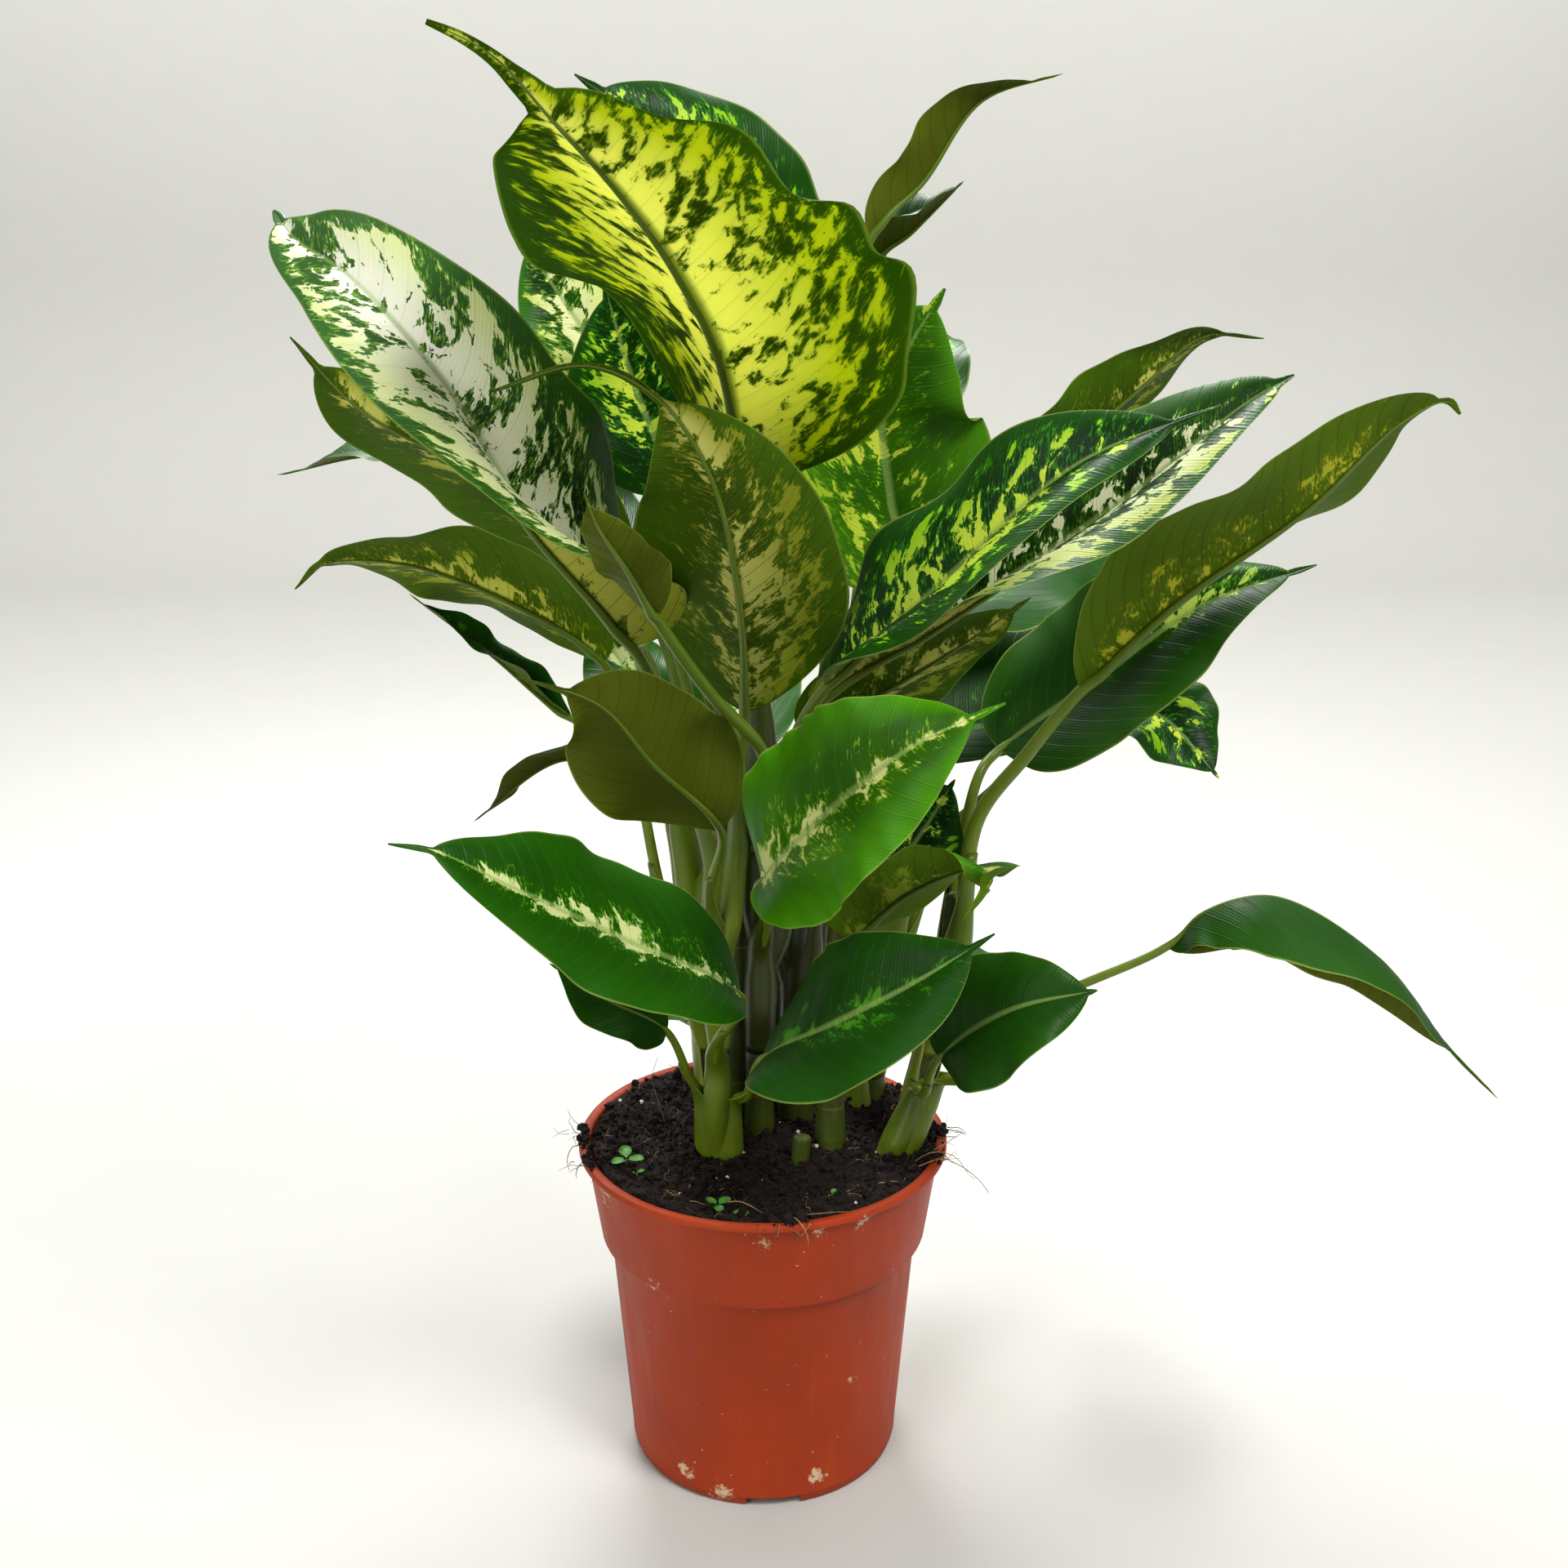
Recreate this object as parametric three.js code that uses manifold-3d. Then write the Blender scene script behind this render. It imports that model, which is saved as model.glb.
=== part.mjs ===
// A potted dieffenbachia: a plastic nursery pot, its peat, nine fleshy shoots, a cut stub and their leaves.
// Millimetres, +Z up, the viewer stands at -Y. The origin is the middle of the pot's underside.
import * as THREE from 'three';
import { mergeVertices } from 'three/addons/utils/BufferGeometryUtils.js';
import Module from 'manifold-3d';

const wasm = await Module();
wasm.setup();

// Driving dimensions of the pot
const POT_HEIGHT = 156;
const RIM_RADIUS = 85;
const RIM_BEAD = 3.6;
const RIM_ROUND = 0.8;
const WALL = 1.8;
const COLLAR_HEIGHT = 45;
const COLLAR_TOP_RADIUS = 81.5;
const COLLAR_FOOT_RADIUS = 75.5;
const COLLAR_ROUND = 1.2;
const BODY_TOP_RADIUS = 71.2;
const BASE_RADIUS = 62.6;
const BASE_ROUND = 2.5;
const FOOT_RING_WIDTH = 10;
const CENTRE_PAD_RADIUS = 22;
const CHANNEL_DEPTH = 4;
const CHANNEL_SLOPE = 2;
const FLOOR_THICKNESS = 2.2;
const POT_SIDES = 48;
const DRAIN_HOLES = 8;
const DRAIN_HOLE_RADIUS = 5;
const DRAIN_CIRCLE_RADIUS = 38;
const DRAIN_SIDES = 12;
const NOTCHES = 3;
const NOTCH_WIDTH = 25;
const NOTCH_HEIGHT = 4.5;
const NOTCH_TURN_DEG = 4;

// Driving dimensions of the soil and the shoots
const GAP = 0.3;
const SOIL_LEVEL = 148;
const SOIL_BANK_HEIGHT = 4;
const SOIL_BANK_FOOT = 48;
const SOIL_LUMP_HEIGHT = 2.2;
const SOIL_LUMP_LENGTH = 10;
const SOIL_RINGS = 5;
const SOIL_SIDES = 24;
const SHOOT_ROOT = 120;
const SHOOT_SIDES = 10;
const SHOOT_STEPS = 9;
const JOINT_SWELL = 0.07;
const JOINT_SPACING = 34;
const STUB_RADIUS = 4;
const STUB_HEIGHT = 12;
const STUB_PLACE = [17, -14];
const STUB_STEPS = 3;

// Driving dimensions that all leaves share
const BLADE_THICKNESS = 0.9;
const RIB_HEIGHT = 2;
const STALK_TAPER = 0.35;
const SHEATH_LENGTH = 26;
const WHIP_WIDTH = 0.1;
const TIP_WIDTH = 0.012;
const FOLD_AT_BASE = 1.6;
const FOLD_AT_TIP = 0.4;
const EDGE_FULLNESS = 0.7;
const WAVES_ALONG = 2.1;
const BLADE_ROWS = 8;
const STALK_ROWS = 5;
const COLUMNS = 4;
const CURVE_SAMPLES = 400;

// Materials
const material = (color, roughness) => new THREE.MeshStandardMaterial({ color, roughness, metalness: 0 });
const terracottaPlastic = material('#b24a26', 0.5);
const peat = material('#2a1c14', 0.95);
const shootSkin = material('#6f9a3a', 0.45);
const leafSkin = material('#2c7a2e', 0.4);

// Shoots: points of each one's middle line, from its root in the soil, and its radius at foot and top
const SHOOTS = {
  front_left: { points: [[-20, -4, SHOOT_ROOT], [-20, -2, 200], [-13, 0, 296]], foot: 5.8, top: 3.8 },
  centre: { points: [[-2, 14, SHOOT_ROOT], [-1, 15, 200], [2, 14, 345]], foot: 7.5, top: 5 },
  centre_left: { points: [[-13, 27, SHOOT_ROOT], [-12, 29, 200], [-10, 31, 300]], foot: 7, top: 5.5 },
  centre_back: { points: [[16, 34, SHOOT_ROOT], [16, 36, 200], [20, 38, 315]], foot: 9.5, top: 5.5 },
  centre_right: { points: [[31, -3, SHOOT_ROOT], [32, 4, 210], [36, 10, 280]], foot: 8, top: 4.5 },
  right: {
    points: [[50, -10, SHOOT_ROOT], [60, -9, 150], [76, -2, 195], [83, 4, 235], [86, 7, 272]],
    foot: 8.5,
    top: 3.5,
  },
  back_left: { points: [[-26, 36, SHOOT_ROOT], [-26, 37, 200], [-33, 38, 295]], foot: 7, top: 5 },
  back_right: { points: [[49, 39, SHOOT_ROOT], [54, 44, 200], [62, 52, 305]], foot: 9, top: 5 },
  back: { points: [[4, 58, SHOOT_ROOT], [4, 62, 200], [-7, 70, 300]], foot: 9, top: 5.5 },
};

// Leaves. Each has the shoot and the height that it grows from, the side of the shoot that it leaves by
// in degrees from +X, the points that its stalk passes, the points of its midrib from base to tip, its
// width, the way its upper face looks, how far its halves fold up and how far it twists, both in degrees,
// the share of its length that is a drawn-out tip, the height of its edge waves, its stalk's radius, and
// its fullness, which is less where it is widest nearer to its base.
const LEAVES = {
  top_front: {
    shoot: 'centre', height: 314, side: -105, stalk: [[-2, -14, 390]],
    midrib: [
      [-7, -45, 461], [-14, -98, 511], [-27, -136, 541], [-43, -176, 566],
      [-59, -212, 585], [-71, -230, 599], [-79, -234, 604], [-89, -238, 608],
    ],
    width: 140, face: [0.32, 0.88, 0.3], fold: 14, twist: 20, whip: 0.15,
    wave: 5, thick: 4.2, fullness: 0.78,
  },
  top_back: {
    shoot: 'back', height: 262, side: -60, stalk: [[-4, 40, 400]],
    midrib: [[10, 20, 498], [-7, 28, 544], [-35, 28, 589], [-74, 18, 616]],
    width: 80, face: [-0.1, -0.8, 0.6], fold: 12, twist: 0, whip: 0.08,
    wave: 5, thick: 3.4, fullness: 0.84,
  },
  centre_under: {
    shoot: 'front_left', height: 264, side: -75, stalk: [[-10, -26, 330]],
    midrib: [
      [-7, -35, 366], [-9, -87, 429], [-18, -115, 473],
      [-35, -125, 500], [-59, -124, 511], [-93, -120, 502],
    ],
    width: 84, face: [0.12, 0.97, 0.2], fold: 8, twist: 0, whip: 0.28,
    wave: 3, thick: 3.4, fullness: 0.84,
  },
  right_glossy: {
    shoot: 'centre_back', height: 285, side: -60, stalk: [[36, 26, 350]],
    midrib: [[63, 10, 404], [54, 2, 449], [50, -8, 487], [59, -14, 510], [73, -20, 534]],
    width: 92, face: [0.22, -0.93, 0.3], fold: 12, twist: 0, whip: 0.06,
    wave: 2, thick: 3.2, fullness: 0.84,
  },
  left_slim: {
    shoot: 'centre', height: 264, side: -122, stalk: [[0, -22, 312], [1, -53, 352], [-20, -84, 386]],
    midrib: [[-38, -114, 421], [-46, -136, 442], [-55, -150, 460], [-59, -154, 472]],
    width: 27, face: [0.15, 0.93, 0.3], fold: 20, twist: 0, whip: 0.08,
    wave: 2, thick: 3.2, fullness: 0.84,
  },
  left_high: {
    shoot: 'front_left', height: 262, side: 185, stalk: [[-36, -12, 345]],
    midrib: [
      [-51, -48, 395], [-88, -92, 455], [-109, -116, 503],
      [-139, -120, 540], [-158, -112, 552], [-169, -98, 562],
    ],
    width: 94, face: [0.58, -0.62, 0.53], fold: 33, twist: -112, whip: 0.03,
    wave: 4, thick: 3.4, fullness: 0.64,
  },
  left_under: {
    shoot: 'back_left', height: 262, side: 235, stalk: [[-40, 26, 325], [-49, 4, 358]],
    midrib: [[-54, -24, 399], [-74, -30, 434], [-108, -46, 464], [-150, -62, 490], [-173, -72, 518]],
    width: 70, face: [-0.15, 0.6, 0.78], fold: 12, twist: 0, whip: 0.08,
    wave: 3, thick: 3.0, fullness: 1.1,
  },
  left_level: {
    shoot: 'back_left', height: 206, side: 215, stalk: [[-46, 28, 262], [-58, 34, 325]],
    midrib: [[-70, 22, 374], [-103, 14, 400], [-149, 2, 421], [-182, -8, 423], [-194, -11, 413]],
    width: 68, face: [0.05, 0.62, 0.78], fold: 12, twist: 0, whip: 0.1,
    wave: 4, thick: 2.8, fullness: 0.84,
  },
  left_dark: {
    shoot: 'back_left', height: 264, side: 175, stalk: [[-48, 42, 325]],
    midrib: [[-87, 44, 343], [-121, 36, 375], [-154, 26, 404]],
    width: 20, face: [0.6, -0.35, 0.75], fold: 36, twist: 0, whip: 0.08,
    wave: 3, thick: 2.4, fullness: 0.84,
  },
  left_far: {
    shoot: 'back_left', height: 262, side: 120, stalk: [[-54, 62, 370]],
    midrib: [[-125, 80, 427], [-169, 84, 457], [-222, 82, 449]],
    width: 60, face: [0.0, -0.1, 1.0], fold: 14, twist: 0, whip: 0.12,
    wave: 3, thick: 2.6, fullness: 0.84,
  },
  left_curl: {
    shoot: 'front_left', height: 222, side: 235, stalk: [[-22, -24, 285]],
    midrib: [[-17, -52, 320], [-42, -85, 358], [-61, -105, 387], [-90, -112, 399]],
    width: 66, face: [-0.3, 0.85, 0.45], fold: 14, twist: 0, whip: 0.15,
    wave: 4, thick: 2.6, fullness: 0.84,
  },
  left_low_tip: {
    shoot: 'back_left', height: 232, side: 295, stalk: [[-22, 20, 280], [-28, 12, 312]],
    midrib: [[-51, 2, 326], [-85, -10, 339], [-123, -24, 315]],
    width: 44, face: [0.0, 0.4, 0.9], fold: 14, twist: 0, whip: 0.1,
    wave: 3, thick: 2.2, fullness: 0.84,
  },
  left_low: {
    shoot: 'front_left', height: 168, side: -95, stalk: [[-20, -30, 215]],
    midrib: [[-9, -55, 247], [-54, -100, 291], [-93, -135, 326], [-117, -148, 344], [-132, -152, 348]],
    width: 72, face: [0.1, -0.6, 0.8], fold: 8, twist: 0, whip: 0.08,
    wave: 4, thick: 3.0, fullness: 0.84,
  },
  left_lowest: {
    shoot: 'front_left', height: 150, side: 178, stalk: [[-34, -8, 190]],
    midrib: [[-43, -15, 214], [-67, -30, 235], [-91, -38, 256]],
    width: 42, face: [0.2, -0.55, 0.8], fold: 10, twist: 0, whip: 0.06,
    wave: 3, thick: 2.4, fullness: 0.84,
  },
  centre_bright: {
    shoot: 'centre', height: 215, side: -95, stalk: [[2, -20, 270]],
    midrib: [[-1, -68, 302], [26, -114, 348], [54, -138, 379], [86, -142, 396]],
    width: 75, face: [0.15, -0.75, 0.65], fold: 8, twist: 0, whip: 0.08,
    wave: 5, thick: 3.2, fullness: 0.84,
  },
  front_dark: {
    shoot: 'front_left', height: 150, side: -30, stalk: [[-8, -12, 180]],
    midrib: [[0, -42, 213], [29, -80, 246], [60, -95, 270], [91, -98, 292]],
    width: 71, face: [0.15, -0.65, 0.75], fold: 8, twist: 0, whip: 0.08,
    wave: 3, thick: 2.8, fullness: 0.84,
  },
  right_low: {
    shoot: 'right', height: 158, side: -105, stalk: [[72, -20, 185]],
    midrib: [[77, -36, 210], [104, -64, 245], [138, -70, 256]],
    width: 58, face: [0.1, -0.7, 0.7], fold: 8, twist: 0, whip: 0.04,
    wave: 3, thick: 2.6, fullness: 0.84,
  },
  right_under: {
    shoot: 'centre_back', height: 244, side: -106, stalk: [[16, 20, 296]],
    midrib: [[19, 10, 344], [49, 2, 363], [83, -6, 386], [113, -12, 409]],
    width: 58, face: [-0.15, 0.75, 0.6], fold: 10, twist: 0, whip: 0.08,
    wave: 3, thick: 2.8, fullness: 0.84,
  },
  centre_curl: {
    shoot: 'centre_right', height: 212, side: -70, stalk: [[40, -12, 262]],
    midrib: [[39, -30, 263], [60, -55, 293], [84, -78, 312], [90, -92, 313], [78, -98, 297]],
    width: 68, face: [-0.1, 0.6, 0.75], fold: 14, twist: 0, whip: 0.12,
    wave: 4, thick: 2.6, fullness: 0.84,
  },
  centre_shaded: {
    shoot: 'centre_back', height: 222, side: -40, stalk: [[42, 28, 250]],
    midrib: [[55, 22, 269], [72, 14, 297], [85, 4, 325]],
    width: 52, face: [-0.3, -0.85, 0.4], fold: 10, twist: 0, whip: 0.06,
    wave: 3, thick: 2.4, fullness: 0.84,
  },
  right_far_low: {
    shoot: 'right', height: 160, side: -50, stalk: [[94, -14, 190], [125, -14, 225]],
    midrib: [
      [179, -14, 253], [193, -18, 271], [221, -26, 281],
      [266, -36, 256], [294, -42, 221], [320, -46, 194],
    ],
    width: 68, face: [0.15, 0.3, 0.95], fold: -38, twist: 0, whip: 0.16,
    wave: 2, thick: 2.6, fullness: 0.84,
  },
  right_cream: {
    shoot: 'centre', height: 250, side: -15, stalk: [[26, 2, 328]],
    midrib: [[23, -16, 363], [71, -48, 404], [137, -80, 459], [176, -97, 496], [191, -100, 506]],
    width: 84, face: [-0.4, -0.42, 0.8], fold: 28, twist: 26, whip: 0.02,
    wave: 4, thick: 3.4, fullness: 1.0,
  },
  right_bright: {
    shoot: 'centre', height: 284, side: -52, stalk: [[14, -20, 350]],
    midrib: [[27, -50, 381], [65, -103, 430], [109, -133, 478], [155, -142, 499]],
    width: 62, face: [-0.3, -0.62, 0.73], fold: 25, twist: 0, whip: 0.08,
    wave: 4, thick: 3.4, fullness: 0.98,
  },
  right_back: {
    shoot: 'back_right', height: 276, side: -10, stalk: [[82, 56, 370]],
    midrib: [[85, 60, 424], [135, 62, 461], [170, 62, 490], [195, 60, 512], [221, 55, 511]],
    width: 52, face: [0.1, 0.6, 0.8], fold: 14, twist: 0, whip: 0.1,
    wave: 4, thick: 3.0, fullness: 0.84,
  },
  right_far: {
    shoot: 'right', height: 220, side: -60, stalk: [[94, -6, 309], [114, -10, 340]],
    midrib: [
      [136, -14, 370], [168, -36, 411], [212, -58, 452],
      [242, -70, 487], [259, -68, 494], [265, -66, 489],
    ],
    width: 88, face: [-0.42, 0.62, 0.66], fold: 18, twist: 0, whip: 0.06,
    wave: 4, thick: 4.0, fullness: 0.95,
  },
  right_dark: {
    shoot: 'right', height: 236, side: 80, stalk: [[98, 24, 321]],
    midrib: [[108, 34, 330], [148, 28, 362], [192, 18, 399], [238, 8, 419]],
    width: 86, face: [0.05, -0.55, 0.85], fold: 10, twist: 0, whip: 0.07,
    wave: 4, thick: 3.2, fullness: 0.66,
  },
  right_drop: {
    shoot: 'back_right', height: 240, side: 0, stalk: [[100, 48, 300]],
    midrib: [[158, 50, 346], [181, 36, 345], [205, 18, 321]],
    width: 48, face: [0.1, -0.7, 0.7], fold: 10, twist: 0, whip: 0.06,
    wave: 4, thick: 2.6, fullness: 0.84,
  },
  top_thin: {
    shoot: 'centre_back', height: 262, side: 60, stalk: [[34, 52, 430]],
    midrib: [[48, 52, 554], [70, 58, 577], [94, 58, 609], [127, 50, 619]],
    width: 36, face: [-0.85, 0.3, 0.4], fold: 34, twist: 0, whip: 0.12,
    wave: 2, thick: 2.8, fullness: 0.84,
  },
  top_folded: {
    shoot: 'back_right', height: 250, side: 110, stalk: [[58, 74, 400]],
    midrib: [[51, 84, 542], [67, 80, 556], [89, 70, 577]],
    width: 36, face: [-0.6, -0.1, 0.8], fold: 34, twist: 0, whip: 0.08,
    wave: 2, thick: 2.6, fullness: 0.84,
  },
  top_left: {
    shoot: 'back', height: 240, side: -150, stalk: [[-40, 50, 380]],
    midrib: [[-52, 22, 477], [-73, 18, 515], [-97, 8, 553]],
    width: 62, face: [0.2, -0.9, 0.4], fold: 10, twist: 0, whip: 0.06,
    wave: 3, thick: 2.8, fullness: 0.84,
  },
  top_left_inner: {
    shoot: 'centre_back', height: 236, side: 176, stalk: [[-6, 36, 380]],
    midrib: [[-35, 8, 451], [-52, 0, 496], [-62, -12, 536]],
    width: 66, face: [0.1, -0.95, 0.3], fold: 12, twist: 0, whip: 0.06,
    wave: 3, thick: 3.0, fullness: 0.84,
  },
  back_high: {
    shoot: 'back', height: 232, side: 70, stalk: [[2, 100, 390]],
    midrib: [[11, 110, 423], [22, 160, 464], [29, 200, 498], [30, 230, 517]],
    width: 84, face: [0, -0.4, 0.9], fold: 10, twist: 0, whip: 0.08,
    wave: 5, thick: 3.2, fullness: 0.84,
  },
  back_left_high: {
    shoot: 'back_left', height: 246, side: 60, stalk: [[-38, 74, 340]],
    midrib: [[-51, 90, 379], [-94, 140, 418], [-138, 180, 454], [-173, 196, 482]],
    width: 80, face: [0.1, -0.3, 0.95], fold: 10, twist: 0, whip: 0.08,
    wave: 5, thick: 3.0, fullness: 0.84,
  },
  back_right_high: {
    shoot: 'back_right', height: 222, side: 75, stalk: [[66, 78, 340]],
    midrib: [[74, 92, 366], [110, 138, 383], [151, 172, 396], [197, 192, 410]],
    width: 86, face: [-0.1, -0.62, 0.78], fold: 10, twist: 0, whip: 0.08,
    wave: 5, thick: 3.0, fullness: 0.84,
  },
  back_mid: {
    shoot: 'back', height: 190, side: 124, stalk: [[-18, 94, 290]],
    midrib: [[-7, 120, 302], [-16, 175, 327], [-23, 220, 343], [-29, 255, 350]],
    width: 76, face: [0, -0.7, 0.7], fold: 10, twist: 0, whip: 0.08,
    wave: 4, thick: 3.0, fullness: 0.84,
  },
  back_right_mid: {
    shoot: 'back_right', height: 190, side: 20, stalk: [[80, 62, 270]],
    midrib: [[77, 86, 307], [119, 118, 331], [165, 142, 348], [209, 152, 355]],
    width: 78, face: [-0.15, -0.7, 0.7], fold: 10, twist: 0, whip: 0.08,
    wave: 4, thick: 2.8, fullness: 0.84,
  },
  back_left_mid: {
    shoot: 'back_left', height: 180, side: 110, stalk: [[-34, 64, 240]],
    midrib: [[-34, 82, 296], [-51, 106, 327], [-72, 130, 352], [-89, 146, 372]],
    width: 64, face: [0.2, -0.7, 0.7], fold: 10, twist: 0, whip: 0.08,
    wave: 4, thick: 2.6, fullness: 0.84,
  },
  back_low: {
    shoot: 'back_right', height: 152, side: 150, stalk: [[34, 62, 200]],
    midrib: [[32, 92, 176], [55, 138, 174], [75, 172, 170], [90, 192, 164]],
    width: 66, face: [0, -0.75, 0.65], fold: 10, twist: 0, whip: 0.08,
    wave: 4, thick: 2.6, fullness: 0.84,
  },
  back_upper_left: {
    shoot: 'back', height: 246, side: 160, stalk: [[-34, 78, 400]],
    midrib: [[-39, 112, 446], [-69, 158, 480], [-90, 190, 506], [-98, 212, 518]],
    width: 72, face: [0.2, -0.4, 0.9], fold: 10, twist: 0, whip: 0.08,
    wave: 4, thick: 2.8, fullness: 0.84,
  },
  back_upper_right: {
    shoot: 'centre_back', height: 232, side: 14, stalk: [[42, 64, 380]],
    midrib: [[56, 112, 453], [70, 150, 485], [72, 182, 507], [67, 202, 518]],
    width: 72, face: [-0.2, -0.4, 0.9], fold: 10, twist: 0, whip: 0.08,
    wave: 4, thick: 2.8, fullness: 0.84,
  },
  back_low_left: {
    shoot: 'back', height: 160, side: 172, stalk: [[-34, 66, 198]],
    midrib: [[-35, 104, 166], [-63, 142, 161], [-85, 170, 154], [-103, 186, 147]],
    width: 62, face: [0.1, -0.2, 0.97], fold: 10, twist: 0, whip: 0.08,
    wave: 4, thick: 2.6, fullness: 0.84,
  },
  back_low_right: {
    shoot: 'right', height: 196, side: 104, stalk: [[92, 34, 235]],
    midrib: [[102, 62, 210], [126, 100, 194], [148, 130, 177], [157, 146, 163]],
    width: 58, face: [-0.1, -0.2, 0.97], fold: 10, twist: 0, whip: 0.08,
    wave: 4, thick: 2.4, fullness: 0.84,
  },
};

// A three.js geometry as a manifold solid, with its shared vertices merged
function solidOf(geometry) {
  geometry.deleteAttribute('normal');
  geometry.deleteAttribute('uv');
  const merged = mergeVertices(geometry);
  return new wasm.Manifold(
    new wasm.Mesh({
      numProp: 3,
      vertProperties: new Float32Array(merged.attributes.position.array),
      triVerts: new Uint32Array(merged.index.array),
    }),
  );
}

// A manifold solid back as a three.js geometry
function geometryOf(solid) {
  const mesh = solid.getMesh();
  const geometry = new THREE.BufferGeometry();
  geometry.setAttribute('position', new THREE.BufferAttribute(new Float32Array(mesh.vertProperties), 3));
  geometry.setIndex(new THREE.BufferAttribute(new Uint32Array(mesh.triVerts), 1));
  geometry.computeVertexNormals();
  return geometry;
}

// A lathe geometry about Z from a profile of [radius, height] pairs that starts and ends on the axis
function latheAboutZ(profile, sides) {
  const points = profile.map(([radius, height]) => new THREE.Vector2(radius, height));
  return new THREE.LatheGeometry(points, sides).rotateX(Math.PI / 2);
}

function curveThrough(points) {
  return new THREE.CatmullRomCurve3(points.map((point) => new THREE.Vector3(...point)), false, 'centripetal');
}

// The pot: a rim bead, a collar, a step, a tapered body, and a floor with a centre pad and a foot ring
const CAVITY_FLOOR = CHANNEL_DEPTH + FLOOR_THICKNESS;
const STEP_HEIGHT = POT_HEIGHT - COLLAR_HEIGHT;
const BEAD_FOOT = POT_HEIGHT - RIM_BEAD;

function makePot() {
  const ringInside = BASE_RADIUS - FOOT_RING_WIDTH;
  const profile = [
    [0, 0],
    [CENTRE_PAD_RADIUS, 0],
    [CENTRE_PAD_RADIUS + CHANNEL_SLOPE, CHANNEL_DEPTH],
    [ringInside - CHANNEL_SLOPE, CHANNEL_DEPTH],
    [ringInside, 0],
    [BASE_RADIUS - BASE_ROUND, 0],
    [BASE_RADIUS, BASE_ROUND],
    [BODY_TOP_RADIUS, STEP_HEIGHT - COLLAR_ROUND],
    [COLLAR_FOOT_RADIUS - COLLAR_ROUND, STEP_HEIGHT],
    [COLLAR_FOOT_RADIUS, STEP_HEIGHT + COLLAR_ROUND],
    [COLLAR_TOP_RADIUS, BEAD_FOOT - RIM_ROUND],
    [RIM_RADIUS - RIM_ROUND, BEAD_FOOT],
    [RIM_RADIUS, BEAD_FOOT + RIM_ROUND],
    [RIM_RADIUS, POT_HEIGHT - RIM_ROUND],
    [RIM_RADIUS - RIM_ROUND, POT_HEIGHT],
    [COLLAR_TOP_RADIUS - WALL, POT_HEIGHT - RIM_ROUND],
    [COLLAR_FOOT_RADIUS - WALL, STEP_HEIGHT + WALL],
    [BODY_TOP_RADIUS - WALL, STEP_HEIGHT - WALL],
    [BASE_RADIUS - WALL, CAVITY_FLOOR],
    [0, CAVITY_FLOOR],
  ];
  let pot = solidOf(latheAboutZ(profile, POT_SIDES));
  for (let hole = 0; hole < DRAIN_HOLES; hole += 1) {
    const length = 4 * CAVITY_FLOOR;
    const drill = new THREE.CylinderGeometry(DRAIN_HOLE_RADIUS, DRAIN_HOLE_RADIUS, length, DRAIN_SIDES);
    drill.rotateX(Math.PI / 2);
    drill.translate(DRAIN_CIRCLE_RADIUS, 0, 0);
    drill.rotateZ(((hole + 0.5) / DRAIN_HOLES) * 2 * Math.PI);
    pot = pot.subtract(solidOf(drill));
  }
  for (let notch = 0; notch < NOTCHES; notch += 1) {
    const cutter = new THREE.BoxGeometry(NOTCH_WIDTH, 3 * FOOT_RING_WIDTH, 2 * NOTCH_HEIGHT);
    cutter.translate(0, FOOT_RING_WIDTH / 2 - BASE_RADIUS, 0);
    cutter.rotateZ(THREE.MathUtils.degToRad(NOTCH_TURN_DEG + (360 / NOTCHES) * notch));
    pot = pot.subtract(solidOf(cutter));
  }
  return pot;
}

// A tube along a curve with a radius that follows a formula, made from a capped cylinder
function tubeSolid(curve, radiusAt, steps) {
  const geometry = new THREE.CylinderGeometry(1, 1, 1, SHOOT_SIDES, steps);
  const position = geometry.attributes.position;
  const across = new THREE.Vector3();
  const away = new THREE.Vector3();
  for (let index = 0; index < position.count; index += 1) {
    const share = THREE.MathUtils.clamp(0.5 - position.getY(index), 0, 1);
    const place = curve.getPointAt(share);
    const tangent = curve.getTangentAt(share);
    across.set(0, 1, 0).cross(tangent).normalize();
    away.crossVectors(tangent, across);
    place.addScaledVector(across, position.getX(index) * radiusAt(share));
    place.addScaledVector(away, position.getZ(index) * radiusAt(share));
    position.setXYZ(index, place.x, place.y, place.z);
  }
  return solidOf(geometry);
}

// The radius of a shoot at a share of its length: it tapers, and it is thinner between its joints
function shootRadius(shoot, curve, share) {
  const turns = curve.getLength() / JOINT_SPACING;
  const waist = JOINT_SWELL * (1 - Math.cos(2 * Math.PI * share * turns));
  return THREE.MathUtils.lerp(shoot.foot, shoot.top, share) * (1 - waist);
}

// A shoot, made wider and longer by what clear gives
function makeShoot(shoot, clear) {
  const [[x, y, root], ...rest] = shoot.points;
  const curve = curveThrough([[x, y, root - clear], ...rest]);
  return tubeSolid(curve, (share) => shootRadius(shoot, curve, share) + clear, SHOOT_STEPS);
}

// The point on a shoot's middle line at a height, with the shoot's radius there
function shootAt(shoot, height) {
  const curve = curveThrough(shoot.points);
  let nearest = 0;
  for (let sample = 0; sample <= CURVE_SAMPLES; sample += 1) {
    if (curve.getPointAt(sample / CURVE_SAMPLES).z <= height) nearest = sample / CURVE_SAMPLES;
  }
  return { place: curve.getPointAt(nearest), radius: shootRadius(shoot, curve, nearest) };
}

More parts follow.
